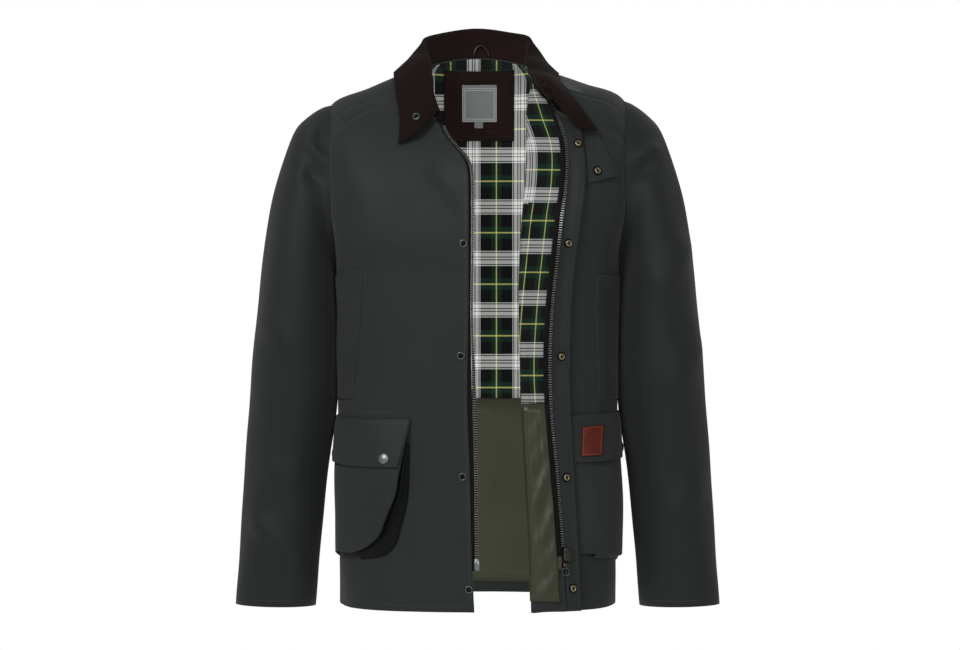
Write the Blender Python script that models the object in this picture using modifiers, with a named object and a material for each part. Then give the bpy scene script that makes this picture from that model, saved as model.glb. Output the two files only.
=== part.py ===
"""An unlined-sleeve country jacket in waxed cotton, filled out as if worn and open down the front.

Units are metres, +Z is up and the wearer faces -Y, so the wearer's left is +X. The origin lies in
the middle of the neck hollow, level with the shoulders that carry the jacket. The body of the coat
is one smooth form, read by torso() from a table of rings. Each panel is an outline on that form,
so that neighbours meet at their seams, and what lies on a panel is made from its points, moved out.
"""

import math

import bmesh
import bpy
import numpy as np
from mathutils import Quaternion, Vector
from mathutils.bvhtree import BVHTree

MM = 0.001

# Cloth and seams
SHELL = 1.8 * MM
LINING = 1.0 * MM
CORDUROY = 2.4 * MM
SEAM_INSET = 0.2 * MM
LAYER_GAP = 0.6 * MM
SLEEVE_GAP = 0.4 * MM

# The wearer's figure, in millimetres, one ring a row from the neck down to the hem. A ring passes
# the front at z_front, the sides at z_side and the back at z_back; square fills out its corners.
RING_COLUMNS = (
    "level", "half_width", "front_y", "back_y", "mid_y", "z_front", "z_side", "z_back", "square",
)
RINGS = (
    (0, 80, -98, 74, 5, -78, 18, 38, 0.000),
    (1, 113, -118, 96, 5, -108, 4, 10, 0.010),
    (2, 155, -133, 112, 5, -140, -14, -30, 0.020),
    (3, 206, -143, 122, 8, -178, -36, -80, 0.035),
    (4, 215, -148, 128, 8, -212, -85, -135, 0.060),
    (5, 215, -150, 128, 8, -245, -175, -200, 0.060),
    (6, 199, -150, 124, 6, -280, -278, -277, 0.045),
    (7, 197, -143, 112, 4, -430, -430, -430, 0.045),
    (8, 193.8, -141, 118, 2, -590, -590, -590, 0.045),
    (9, 193.2, -142, 126, 2, -740, -740, -740, 0.045),
)
HEM_LEVEL = 9.0
SIDE = 90.0
CENTRE_BACK = 180.0

# Armholes: an oval in turn and level, walked in steps from the shoulder tip round by the front
ARMHOLE_LEVEL = 4.5
ARMHOLE_RISE = 1.5
SHOULDER_LEVEL = ARMHOLE_LEVEL - ARMHOLE_RISE
ARMHOLE_FRONT = 28.0
ARMHOLE_BACK = 34.0
ARMHOLE_STEP = 22.5
YOKE_STEP = 2

# Neckline and forward shoulder seam
NECK_TURN = 62.0
NECK_DROP = 0.34
SHOULDER_ROWS = 4
LOWER_LEVELS = (6.25, 6.65, 7.16, 7.75, 8.35, 8.9, HEM_LEVEL)
FRONT_EDGE_LEVELS = (0.85, 1.05, 1.3, 1.95, 2.7, 3.5, 4.3, 5.0, 5.6, 6.1)
FRONT_EDGE_TURN = 8.0
LINING_SPLIT = 7.16

# Front edges, in millimetres down from the origin: the right front's edge with its zip beside
# it, then on the left front the fold, the zip and the edge of the storm fly, which are turned back
RIGHT_COLUMNS = ("depth", "edge", "teeth", "teeth_rise")
RIGHT_LINES = (
    (60, 54.5, 50.0, 2),
    (76, 51.5, 47.3, 3),
    (96, 39.3, 36.4, 2.8),
    (119, 20.0, 15.6, 2.5),
    (137, 13.3, 7.6, 1),
    (156, 12.6, 6.8, 0),
    (238, 12.0, 6.6, 0),
    (355, 12.5, 7.6, 0),
    (400, 13.4, 5.4, 0),
    (450, 13.8, 3.8, 0),
    (555, 10.0, 1.8, 0),
    (658, 8.0, 1.0, 0),
    (710, 5.5, 0.5, 0),
    (740, 4.4, 0.0, 0),
)
FOLD_COLUMNS = ("depth", "fold", "zip", "fly")
FOLD_LINES = (
    (20, 78, 98, 130),
    (60, 73.5, 109, 137),
    (100, 74, 121, 145),
    (150, 72, 121.5, 148),
    (200, 68.5, 114.5, 142),
    (250, 64.5, 109, 135),
    (320, 63, 102, 128.5),
    (420, 65.5, 97.7, 126),
    (500, 68, 104, 129),
    (600, 74, 112, 134.5),
    (700, 78, 119, 140),
    (740, 78.5, 120.5, 141.5),
)
ROW_DROP = ((20, 60, 100, 200, 300, 740), (30, 22, 12, 3, 0, 2))
FOLD_LIFT = 14 * MM
FLY_LIFT = 10 * MM
FOLD_STEPS = 4
TAPE_TURN = 2.6
TAPE_UNDER = 9 * MM
TAPE = 0.8 * MM
CHAIN = 2.2 * MM
ZIP_GAP = 0.7 * MM
SLIDER_GAP = 2.0 * MM
RIGHT_ZIP_END = 664
LEFT_CHAIN_END = 651
LEFT_TAPE_END = 682
FLY_THICKNESS = 2.6 * MM

# Sleeves: outer and inner lines seen from the front, half depth and mid depth, in millimetres
SLEEVE_COLUMNS = ("outer_x", "outer_z", "inner_x", "inner_z", "half_depth", "mid_y")
SLEEVE = (
    (226, -43, 203.2, -284, 82, 1),
    (246.5, -58.5, 203.2, -292, 85, 0),
    (264, -82, 202.6, -302, 87, -3),
    (283.5, -143, 202.0, -318, 88, -7),
    (296, -204, 201.4, -338, 87, -11),
    (306.5, -285, 201.0, -370, 85, -13),
    (315.5, -370, 201.0, -430, 81, -13),
    (323, -460, 204.4, -482, 74, -9),
    (330.5, -575, 214, -580, 63, -5),
    (336, -660, 222, -663, 53, -12),
    (341.5, -741, 228.5, -743, 45, -18),
)

# Collar: along the neck seam from the wearer's right end to the left. The seam is given on the
# torso by turn and lift, the roll as a point, the fall's edge on the torso by turn, level and
# lift, and belly pushes out the middle of the fall.
COLLAR_COLUMNS = (
    "seam_turn", "seam_lift", "roll_x", "roll_y", "roll_z",
    "edge_turn", "edge_level", "edge_lift", "belly", "sag",
)
COLLAR = (
    (-34, 2.3, -52.5, -102, -50, -37.2, 2.27, 8, 9, 11),
    (-50, 2.3, -61, -76, -23, -46, 1.75, 9, 10, 3),
    (-65, 2.3, -64, -36, 14, -62, 1.35, 9.5, 7, 0),
    (-79, 2.3, -68, -14, 32, -78, 1.12, 9.5, 6, 0),
    (-92, 2.3, -71, 5, 43, -94, 1.02, 9, 6, 0),
    (-120, 2.3, -79, 36, 62, -125, 0.98, 7, 6, 0),
    (-150, 2.3, -48, 66, 75, -152, 1.00, 6, 6, 0),
    (180, 2.3, 0, 76, 82, 180, 1.00, 6, 6, 0),
    (150, 2.3, 48, 66, 75, 152, 1.00, 6, 6, 0),
    (120, 2.3, 76, 36, 64, 125, 1.00, 7, 6, 0),
    (92, 2.3, 69, 5, 38, 94, 1.00, 6.5, 6, 0),
    (78, 2.6, 68, -16, 25, 79, 1.01, 7, 6, 0),
    (66, 4.5, 70, -38, 11, 69, 1.22, 10, 6, 0),
    (59, 10, 75, -63, 4, 63, 1.57, 15, 6, 0),
)
# Its end on the turned-back left front: share from fold to zip, then the roll from the seam,
# and the fall's edge by x, z and lift
COLLAR_END_COLUMNS = (
    "share", "roll_x", "roll_y", "roll_z", "edge_x", "edge_z", "edge_lift", "sag",
)
COLLAR_END = (
    (0.2, -5, -9, 9, 137, -37, 20, 3),
    (0.58, -4, -11, 9, 150.5, -58, 21, 10),
    (0.95, -3, -11, 9, 165.5, -79, 18, 20),
)
COLLAR_SHARES = (0, 0.5, 1, 2, 3, 3.5, 4, 4.5, 5)
ROLL_RADIUS = 4.5 * MM
COLLAR_RISE = 0.5
SAG_DIRECTION = np.array([0, -0.3, -1.0])

# Bellows pockets on the lower fronts, in millimetres: the bag's inner and lower edge with its
# lift off the panel, and the line where its gusset meets the panel
BAG_COLUMNS = ("depth", "outer_depth", "inner_x", "lift", "left_outer_lift", "base_x", "base_depth")
BAG = (
    (494, 494, 95, 5, 2.7, 91, 494),
    (512, 512, 97, 9, 3.4, 92.5, 512),
    (530, 530, 99, 13.5, 4.2, 93.5, 530),
    (553, 553, 103, 18, 5.2, 94, 560),
    (578, 579, 106, 20, 6.3, 95.5, 584),
    (598, 601, 113, 20, 7.0, 99, 604),
    (620, 625, 121, 19, 7.7, 105, 625),
    (635, 643, 127, 17.5, 8.1, 110, 644),
    (647, 658, 138, 15.5, 8.5, 120, 658),
    (656, 669, 150, 13.5, 8.8, 135, 666),
    (662, 677, 165, 11.5, 9.0, 160, 671),
)
BAG_TURN = 96.0
BAG_OUTER_LIFT = 2.7
LEFT_BAG_EDGE = 118
FLAP_COLUMNS = ("depth", "outer_depth", "inner_x", "lift", "outer_lift")
FLAP = (
    (477, 475, 91, 2.6, 2.6),
    (483, 481, 92, 5.0, 4.0),
    (494, 491, 93, 8.6, 5.4),
    (512, 508, 97, 12.6, 5.6),
    (528, 522, 100.5, 16.6, 5.8),
    (543, 534, 104, 19.6, 6.0),
)
FLAP_TURN = 97.0
LEFT_FLAP_RISE = 6
FLAT_LIFT = 2.5
GUSSET_BASE = 4.3
LEFT_GUSSET = ((-1.5, 1.0), (1.5, 0.6), (6.0, 0.0))
LEFT_GUSSET_START = 2
FLAT_FLAP_LIFT = 5.2
FLAT_TO = (136, 160)
POCKET_ACROSS = 8

# Handwarmer pockets behind a welt at each side seam: inner edge from top to bottom
WELT_TURN = 80.0
WELT_COLUMNS = ("depth", "inner_x")
WELTS = {"right": ((270, 156), (300, 156), (451, 170)), "left": ((278, 161), (310, 160), (452, 166))}

# Small pieces of cloth and leather, in millimetres of x and depth
THROAT_TAB = ((140, 100), (163, 82), (148, 156), (191, 143))
LEATHER_PATCH = ((143.5, 488), (173, 486), (142.5, 528), (171.5, 527))
NECK_PATCH = ((-49, -21), (53, -21), (-49, 78), (53, 78))
WOVEN_LABEL = ((-23, -2), (28, -2), (-23, 51), (28, 51))
SIZE_TAB = ((-5, 53.5), (8, 53.5), (-5, 62), (8, 62))
HANGER = ((-5.4, 41), (-4.4, 48), (-0.5, 54), (4, 56.5), (9, 54.5), (14, 48), (16.4, 40))
HANGER_Y = 70.6 * MM
HANGER_RADIUS = 1.3 * MM

# Snaps: radius and height down their outer side, and x and depth on the garment, all in mm
SOCKET_PROFILE = ((0, 0.8), (2.2, 0.8), (2.6, 2.1), (4.6, 2.1), (5.0, 1.2), (6.2, 1.0), (6.3, 0), (0, 0))
STUD_PROFILE = ((0, 3.0), (1.7, 3.0), (2.1, 2.2), (1.8, 1.2), (4.8, 1.1), (6.0, 0.4), (6.0, 0), (0, 0))
CAP_PROFILE = ((0, 2.4), (3.6, 2.1), (6.2, 1.2), (7.4, 0.5), (7.2, 0), (0, 0))
STUDS = ((-19.2, 237), (-22.8, 390), (-20.6, 555), (-11.8, 709))
SOCKETS = ((138, 99), (124.7, 237), (115.5, 391), (121, 556), (130.4, 708))
TAB_SOCKET = (163.6, 137)
COLLAR_STUD = (-84.5, 61)
FLAP_CAP = (128.6, 530)
SIDE_CAP_DEPTH = {"right": 530, "left": 521}
SNAP_GAP = 0.35 * MM
SNAP_STEPS = 12

# The slider, the box under it and the pull, in millimetres
SLIDER_OUTLINE = (
    (-5.2, 9), (4.6, 9), (8.6, 3.4), (5.4, 0.4), (5.0, -8.5), (-5.0, -8.5), (-6.2, 1), (-5.4, 4),
)
SLIDER_PLACE = (120, 661)
SLIDER_THICKNESS = 5 * MM
BOX_OUTLINE = ((-4.7, 3.3), (4.9, 3.3), (4.9, -3.3), (-4.7, -3.3))
BOX_PLACE = (119, 676)
BOX_THICKNESS = 4.2 * MM
PULL_PLACE = (118.4, 680.6)
PULL_OUTLINE = (
    (-3.6, 0), (3.6, 0), (4.6, -1.2), (4.6, -6.4), (2.8, -9), (-2.8, -9), (-4.6, -6.4), (-4.6, -1.2),
)
PULL_RADIUS = 0.9 * MM
PIN_OUTLINE = ((-1.6, 10), (1.6, 10), (1.6, -10), (-1.6, -10))
PIN_PLACE = (-0.8, 675)
PIN_THICKNESS = 2.2 * MM


# ---------------------------------------------------------------- the form

def smooth(knots, values, at):
    """A smooth curve through the rows of a table, read at one place or at an array of them."""
    knots = np.asarray(knots, float)
    values = np.asarray(values, float)
    at = np.clip(np.asarray(at, float), knots[0], knots[-1])
    slopes = np.gradient(values, knots)
    row = np.clip(np.searchsorted(knots, at, side="right") - 1, 0, len(knots) - 2)
    width = knots[row + 1] - knots[row]
    t = (at - knots[row]) / width
    start = (1 + 2 * t) * (1 - t) ** 2 * values[row] + t * (1 - t) ** 2 * width * slopes[row]
    end = t * t * (3 - 2 * t) * values[row + 1] + t * t * (t - 1) * width * slopes[row + 1]
    return start + end


def column(table, columns, name):
    return [row[columns.index(name)] for row in table]


def ring(name, level):
    return smooth(column(RINGS, RING_COLUMNS, "level"), column(RINGS, RING_COLUMNS, name), level)


def torso_base(turn, level):
    """The torso at a turn in degrees, 0 in front and 180 behind, and at a level of the rings."""
    turn, level = np.broadcast_arrays(np.asarray(turn, float), np.asarray(level, float))
    angle = np.radians(turn)
    square = ring("square", level)
    across = (np.sin(angle) + square * np.sin(3 * angle)) / (1 - square)
    ahead = (np.cos(angle) - square * np.cos(3 * angle)) / (1 - square)
    mid = ring("mid_y", level)
    reach = np.where(ahead > 0, mid - ring("front_y", level), ring("back_y", level) - mid)
    ends = np.where(ahead > 0, ring("z_front", level), ring("z_back", level))
    x = ring("half_width", level) * across
    y = mid - reach * ahead
    z = ring("z_side", level) * np.sin(angle) ** 2 + ends * np.cos(angle) ** 2
    return np.stack([x, y, z], axis=-1) * MM


def torso_normal(turn, level):
    turn_step, level_step = 0.5, 0.02
    level = np.clip(level, level_step, HEM_LEVEL - level_step)
    down = torso_base(turn, level + level_step) - torso_base(turn, level - level_step)
    round_body = torso_base(turn + turn_step, level) - torso_base(turn - turn_step, level)
    normal = np.cross(down, round_body)
    return normal / np.linalg.norm(normal, axis=-1, keepdims=True)


def torso(turn, level, lift=0.0):
    lift = np.asarray(lift, float)[..., None]
    return torso_base(turn, level) + torso_normal(np.asarray(turn, float), level) * lift


def front_place(x, z):
    """The turn and level where the front of the torso has this x and z, in metres."""
    target = np.stack(np.broadcast_arrays(np.abs(np.asarray(x, float)), np.asarray(z, float)), -1)
    turns, levels = np.meshgrid(np.linspace(0, SIDE, 31), np.linspace(0, HEM_LEVEL, 46))
    samples = torso_base(turns, levels)[..., (0, 2)].reshape(-1, 2)
    nearest = np.linalg.norm(target[..., None, :] - samples, axis=-1).argmin(axis=-1)
    turn, level = turns.ravel()[nearest], levels.ravel()[nearest]
    for _ in range(12):
        here = torso_base(turn, level)[..., (0, 2)]
        by_turn = (torso_base(turn + 0.1, level)[..., (0, 2)] - here) / 0.1
        by_level = (torso_base(turn, level + 0.01)[..., (0, 2)] - here) / 0.01
        miss = target - here
        area = by_turn[..., 0] * by_level[..., 1] - by_turn[..., 1] * by_level[..., 0]
        area = np.where(np.abs(area) < 1e-9, 1e-9, area)
        turn_step = (miss[..., 0] * by_level[..., 1] - miss[..., 1] * by_level[..., 0]) / area
        level_step = (miss[..., 1] * by_turn[..., 0] - miss[..., 0] * by_turn[..., 1]) / area
        turn = np.clip(turn + np.clip(turn_step, -6, 6), 0, SIDE)
        level = np.clip(level + np.clip(level_step, -0.3, 0.3), 0, HEM_LEVEL - 0.01)
    return np.where(np.asarray(x) < 0, -turn, turn), level


def on_front(x, z, lift=0.0):
    """The point at this x and z that stands off the front of the torso by a lift, in metres."""
    x, z, lift = np.broadcast_arrays(*(np.asarray(part, float) for part in (x, z, lift)))
    shift = np.zeros((*x.shape, 3))
    for _ in range(4):
        turn, level = front_place(x - shift[..., 0], z - shift[..., 2])
        shift = torso_normal(turn, level) * lift[..., None]
    return torso_base(turn, level) + shift


def level_at(z):
    """The level of the flat rings, under the arms, at a height in metres."""
    return smooth([278, 430, 590, 740], [6, 7, 8, 9], -np.asarray(z) / MM)


def neck_level(turn):
    return NECK_DROP * np.clip((SIDE - np.abs(turn)) / (SIDE - NECK_TURN), 0, 2.1)


# ---------------------------------------------------------------- outlines on the form

def armhole(step, back=False):
    """The turn and level of a step round the armhole: 0 at the shoulder tip, 8 under the arm."""
    angle = math.radians(step * ARMHOLE_STEP)
    spread = ARMHOLE_BACK if back else -ARMHOLE_FRONT
    turn = SIDE + spread * math.sin(angle)
    return turn, ARMHOLE_LEVEL - ARMHOLE_RISE * math.cos(angle)


UNDERARM_STEP = int(180 / ARMHOLE_STEP)


def yoke_seam():
    """The forward shoulder seam from the neckline out to the armhole."""
    start = (NECK_TURN, NECK_DROP)
    end = armhole(YOKE_STEP)
    shares = [row / SHOULDER_ROWS for row in range(SHOULDER_ROWS + 1)]
    return [tuple(a + (b - a) * share for a, b in zip(start, end)) for share in shares]


def front_outer_edge():
    """A front's outer outline from the neck down: shoulder seam, armhole, side seam."""
    steps = range(YOKE_STEP + 1, UNDERARM_STEP + 1)
    places = yoke_seam() + [armhole(step) for step in steps]
    return np.array(places + [(SIDE, level) for level in LOWER_LEVELS])


def front_levels(turns):
    """The levels of a front's rows at their turns. The first row is the neckline, and the others
    fan out from the shoulder seam and the armhole to even steps down the front edge."""
    outer = front_outer_edge()
    inner = np.array([NECK_DROP, *FRONT_EDGE_LEVELS, *LOWER_LEVELS])[:, None]
    inward = (outer[:, :1] - turns) / (outer[:, :1] - FRONT_EDGE_TURN)
    levels = outer[:, 1:] + (inner - outer[:, 1:]) * inward
    levels[0] = neck_level(turns[0])
    return levels


def edge_turns(line):
    """The turn at which each row of a front reaches a line that gives x by depth, both in mm."""
    high = front_outer_edge()[:, :1]
    low = np.zeros(high.shape)
    for _ in range(24):
        turns = (low + high) / 2
        place = torso_base(turns, front_levels(turns)) / MM
        short = place[..., 0] < line(-place[..., 2])
        low, high = np.where(short, turns, low), np.where(short, high, turns)
    return turns


def right_line(name, depth):
    depths = column(RIGHT_LINES, RIGHT_COLUMNS, "depth")
    return smooth(depths, column(RIGHT_LINES, RIGHT_COLUMNS, name), depth)


def right_front_rows():
    """The wearer's right front from its zipped edge to its outer edge."""
    edge = edge_turns(lambda depth: right_line("edge", depth))
    sewn = edge + TAPE_TURN
    body = sewn + (front_outer_edge()[:, :1] - sewn) * np.linspace(0, 1, 10)
    turns = np.concatenate([edge, body], axis=1)
    return torso(-turns, front_levels(turns))


def right_zip_rows(places):
    """Points beside the right front's edge, which is at 0, on the way to the teeth, at 1."""
    edge_turn = edge_turns(lambda depth: right_line("edge", depth))
    edge = torso_base(-edge_turn, front_levels(edge_turn))[:, 0, (0, 2)]
    depth = -edge[:, 1] / MM
    teeth_depth = depth - right_line("teeth_rise", depth)
    teeth = np.stack([-right_line("teeth", depth), -teeth_depth], axis=1) * MM
    flat = edge[:, None] + (teeth - edge)[:, None] * np.asarray(places)[None, :, None]
    return on_front(flat[..., 0], flat[..., 1])


def cut_below(rows, depth):
    """Rows of points, with the last ones drawn up to end at a depth in millimetres."""
    depths = -rows[:, 0, 2] / MM
    kept = [*depths[depths < depth - 4], depth]
    flat = rows.reshape(len(rows), -1)
    return np.stack([smooth(depths, values, kept) for values in flat.T], axis=1).reshape(
        len(kept), *rows.shape[1:])


def fold_line(name, depth):
    depths = column(FOLD_LINES, FOLD_COLUMNS, "depth")
    return smooth(depths, column(FOLD_LINES, FOLD_COLUMNS, name), depth)


def lapel_lines():
    """Where each row of the left front folds, meets the zip and ends under the storm fly: x, z."""
    turns = edge_turns(lambda depth: fold_line("fold", depth))
    fold = torso_base(turns, front_levels(turns))[:, 0, (0, 2)]
    depth = -fold[:, 1] / MM
    drop = smooth(*ROW_DROP, depth)
    teeth = np.stack([fold_line("zip", depth + drop), -depth - drop], axis=1) * MM
    fly = np.stack([fold_line("fly", depth + drop * 1.7), -depth - drop * 1.7], axis=1) * MM
    return fold, teeth, fly


def lapel_points(places):
    """Points of the turned-back front, a row each. A place is a share, which is 0 at the fold,
    1 at the zip and 2 at the edge of the storm fly, and a distance in x beyond it."""
    fold, teeth, fly = (line[:, None, :] for line in lapel_lines())
    share, beyond = (np.array(part, float)[None, :, None] for part in zip(*places))
    inside = fold + (teeth - fold) * (share + beyond / (teeth - fold)[..., :1])
    outside = teeth + (fly - teeth) * (share - 1 + beyond / (fly - teeth)[..., :1])
    flat = np.where(share + beyond <= 1, inside, outside)
    across = np.clip((flat - fold)[..., 0] / (fly - fold)[..., 0], 0, 1)
    return on_front(flat[..., 0], flat[..., 1], FOLD_LIFT + (FLY_LIFT - FOLD_LIFT) * across)


def left_front_rows():
    """The wearer's left front from its outer edge to the fold, round it, and back to the zip."""
    fold = edge_turns(lambda depth: fold_line("fold", depth))
    outer = front_outer_edge()[:, :1]
    turns = fold + (outer - fold) * np.linspace(1, 0, 8)
    body = torso(turns, front_levels(turns))
    back = lapel_points([(0.4, 0), (1, -TAPE_UNDER), (1, 1 * MM)])
    start = body[:, -1]
    normal = torso_normal(fold, front_levels(fold))[:, 0]
    along = start - back[:, 0]
    along -= normal * (normal * along).sum(axis=1, keepdims=True)
    along /= np.linalg.norm(along, axis=1, keepdims=True)
    turnover = []
    for step in range(1, FOLD_STEPS + 1):
        angle = math.pi * step / FOLD_STEPS
        reach = normal * (1 - math.cos(angle)) + along * math.sin(angle)
        turnover.append(start + reach * FOLD_LIFT / 2)
    return np.concatenate([body, np.stack(turnover, axis=1), back], axis=1)


def back_grids():
    """The back from the hem to the neckline, with a strip over each shoulder to the yoke seam."""
    shoulder = [SHOULDER_LEVEL * row / SHOULDER_ROWS for row in range(SHOULDER_ROWS)]
    outer = [(SIDE, level) for level in shoulder]
    outer += [armhole(step, back=True) for step in range(UNDERARM_STEP + 1)]
    outer += [(SIDE, level) for level in LOWER_LEVELS]
    middle = [*shoulder, *np.linspace(2.7, 6.0, UNDERARM_STEP + 1), *LOWER_LEVELS]
    shares = np.linspace(0, 1, 7)
    rows = []
    for (turn, level), middle_level in zip(outer, middle):
        half = np.stack([turn + (CENTRE_BACK - turn) * shares,
                         level + (middle_level - level) * shares])
        turns, levels = np.concatenate([half, half[:, -2::-1]], axis=1)
        turns[len(shares):] = 2 * CENTRE_BACK - turns[len(shares):]
        rows.append(torso(turns, levels))
    return np.array(rows), shoulder_strip(1), shoulder_strip(-1)


def shoulder_strip(side):
    """From the shoulder line, a row each from the neck to the tip, forward to the yoke seam."""
    rows = []
    for row, (seam_turn, seam_level) in enumerate(yoke_seam()):
        line_level = SHOULDER_LEVEL * row / SHOULDER_ROWS
        middle = (SIDE + seam_turn) / 2, (line_level + seam_level) / 2
        if row == SHOULDER_ROWS:
            middle = armhole(YOKE_STEP / 2)
        places = [(SIDE, line_level), middle, (seam_turn, seam_level)]
        turns = np.array([place[0] for place in places])
        levels = np.array([place[1] for place in places])
        points = torso(turns * side, levels)
        rows.append(points[::-side])
    return np.array(rows)


# ---------------------------------------------------------------- making objects

collection = None


def finish(name, colour, roughness, metallic=0.0):
    material = bpy.data.materials.new(name)
    material.use_nodes = True
    shader = material.node_tree.nodes["Principled BSDF"]
    shader.inputs["Base Color"].default_value = (*colour, 1)
    shader.inputs["Roughness"].default_value = roughness
    shader.inputs["Metallic"].default_value = metallic
    return material


def add_object(name, mesh, material):
    mesh.materials.append(material)
    obj = bpy.data.objects.new(name, mesh)
    collection.objects.link(obj)
    return obj


def inset_edges(bm, distance):
    """Draws the open edges of a sheet in, to leave room at its seams."""
    moves = {}
    for edge in bm.edges:
        if len(edge.link_faces) != 1:
            continue
        face = edge.link_faces[0]
        start, end = edge.verts
        inward = (end.co - start.co).cross(face.normal).normalized()
        middle = (start.co + end.co) / 2
        if inward.dot(face.calc_center_median() - middle) < 0:
            inward.negate()
        for vertex in edge.verts:
            moves.setdefault(vertex, []).append(inward)
    for vertex, ways in moves.items():
        vertex.co += sum(ways, Vector()) * distance


def open_sheet(grids, lift=0.0, inset=SEAM_INSET):
    """An open surface through grids of points, which share the points where they meet."""
    bm = bmesh.new()
    for grid in grids:
        corners = [[bm.verts.new(point) for point in row] for row in grid]
        for upper, lower in zip(corners, corners[1:]):
            for left in range(len(upper) - 1):
                bm.faces.new((upper[left], lower[left], lower[left + 1], upper[left + 1]))
    bmesh.ops.remove_doubles(bm, verts=bm.verts, dist=1e-5)
    bm.normal_update()
    moved = [(vertex, vertex.co + vertex.normal * lift) for vertex in bm.verts]
    for vertex, place in moved:
        vertex.co = place
    bm.normal_update()
    inset_edges(bm, inset)
    mesh = bpy.data.meshes.new("sheet")
    bm.to_mesh(mesh)
    bm.free()
    return mesh


def wall(name, grids, thickness, material, lift=0.0, outward=True, inset=SEAM_INSET):
    """Cloth: an open surface through the grids, given its thickness by Solidify."""
    obj = add_object(name, open_sheet(grids, lift, inset), material)
    facets = obj.modifiers.new("Facets", "TRIANGULATE")
    facets.quad_method = "FIXED"
    thicken = obj.modifiers.new("Thickness", "SOLIDIFY")
    thicken.thickness = thickness
    thicken.offset = 1.0 if outward else -1.0
    thicken.use_even_offset = False
    return obj


def turned(name, profile, place, normal, material):
    """A round piece: radius and height in mm down its outer side, set on a face by its normal."""
    bm = bmesh.new()
    points = [bm.verts.new((radius * MM, 0, height * MM)) for radius, height in profile]
    for upper, lower in zip(points, points[1:]):
        bm.edges.new((upper, lower))
    mesh = bpy.data.meshes.new(name)
    bm.to_mesh(mesh)
    bm.free()
    obj = add_object(name, mesh, material)
    screw = obj.modifiers.new("Turned", "SCREW")
    screw.steps = SNAP_STEPS
    screw.render_steps = SNAP_STEPS
    screw.use_merge_vertices = True
    screw.merge_threshold = 1e-5
    obj.location = Vector(place)
    obj.rotation_mode = "QUATERNION"
    obj.rotation_quaternion = Vector(normal).to_track_quat("Z", "Y")
    return obj


def ray_tree(name):
    """The finished faces of an object made earlier, to seat another piece on."""
    return BVHTree.FromObject(bpy.data.objects[name], bpy.context.evaluated_depsgraph_get())


def seat(name, x, z, radius=0.0, ray=(0, 1, 0), y=-0.4):
    """Where a ray meets an object, clear of its faces for a disc of this radius, and the normal."""
    ray = Vector(ray)
    start = Vector((x, y, z))
    tree = ray_tree(name)
    place, normal, _, _ = tree.ray_cast(start, ray)
    side = normal.orthogonal().normalized() * radius
    highest = 0.0
    for step in range(12 if radius else 0):
        rim = side.copy()
        rim.rotate(Quaternion(normal, math.tau * step / 12))
        for share in (0.5, 1):
            below, _, _, _ = tree.ray_cast(place + rim * share + normal * 0.02, -normal)
            if below is not None:
                highest = max(highest, (below - place).dot(normal))
    return place + normal * highest, normal


def drape(name, corners, across, down, gap):
    """A grid of points between four corners, laid on an object made earlier."""
    corners = np.array(corners, float) * MM
    tree = ray_tree(name)
    rows = []
    for v in np.linspace(0, 1, down + 1):
        left = corners[0] + (corners[2] - corners[0]) * v
        right = corners[1] + (corners[3] - corners[1]) * v
        row = []
        for u in np.linspace(0, 1, across + 1):
            x, depth = left + (right - left) * u
            hit, normal, _, _ = tree.ray_cast(Vector((x, -0.4, -depth)), Vector((0, 1, 0)))
            row.append(np.array(hit + normal * gap))
        rows.append(row)
    return np.array(rows)


def prism(name, outline, place, normal, thickness, material):
    """A plate cut to an outline of x and z in mm, standing out from a place along its normal."""
    normal = Vector(normal).normalized()
    across = Vector((0, 0, 1)).cross(normal).normalized()
    up = normal.cross(across)
    mesh = bpy.data.meshes.new(name)
    corners = [(across * x + up * z) * MM for x, z in outline]
    mesh.from_pydata(corners, [], [range(len(corners))])
    obj = add_object(name, mesh, material)
    obj.location = place
    thicken = obj.modifiers.new("Thickness", "SOLIDIFY")
    thicken.thickness = thickness
    thicken.offset = -1
    soften = obj.modifiers.new("Edges", "BEVEL")
    soften.width = 0.5 * MM
    soften.segments = 2
    soften.limit_method = "ANGLE"
    return obj


def cord(name, points, radius, material, closed=False):
    """A round cord or wire through points."""
    curve = bpy.data.curves.new(name, "CURVE")
    curve.dimensions = "3D"
    curve.bevel_depth = radius
    curve.bevel_resolution = 2
    curve.use_fill_caps = True
    spline = curve.splines.new("POLY")
    spline.points.add(len(points) - 1)
    for point, place in zip(spline.points, points):
        point.co = (*place, 1)
    spline.use_cyclic_u = closed
    return add_object(name, curve, material)


# ---------------------------------------------------------------- the garment's pieces

def make_shell(waxed):
    wall("front_right", [right_front_rows()[:, ::-1]], SHELL, waxed)
    wall("front_left", [left_front_rows()[:, ::-1]], SHELL, waxed)
    wall("back", back_grids(), SHELL, waxed)


def make_linings(tartan, nylon):
    """Each lining is its panel's own points, moved in; the last row is left to the shell's hem."""
    split = LOWER_LEVELS.index(LINING_SPLIT) - len(LOWER_LEVELS)
    right = right_front_rows()[:, 1:][:, ::-1]
    left = left_front_rows()[:, :-1][:, ::-1]
    back, strip_left, strip_right = back_grids()
    for name, grid, strips in (
        ("right", right, []), ("left", left, []), ("back", back, [strip_left, strip_right]),
    ):
        upper, lower = grid[:split + 1], grid[split:-1]
        wall(f"lining_{name}_upper", [upper, *strips], LINING, tartan, -LAYER_GAP, False)
        wall(f"lining_{name}_lower", [lower], LINING, nylon, -LAYER_GAP, False)


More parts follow.
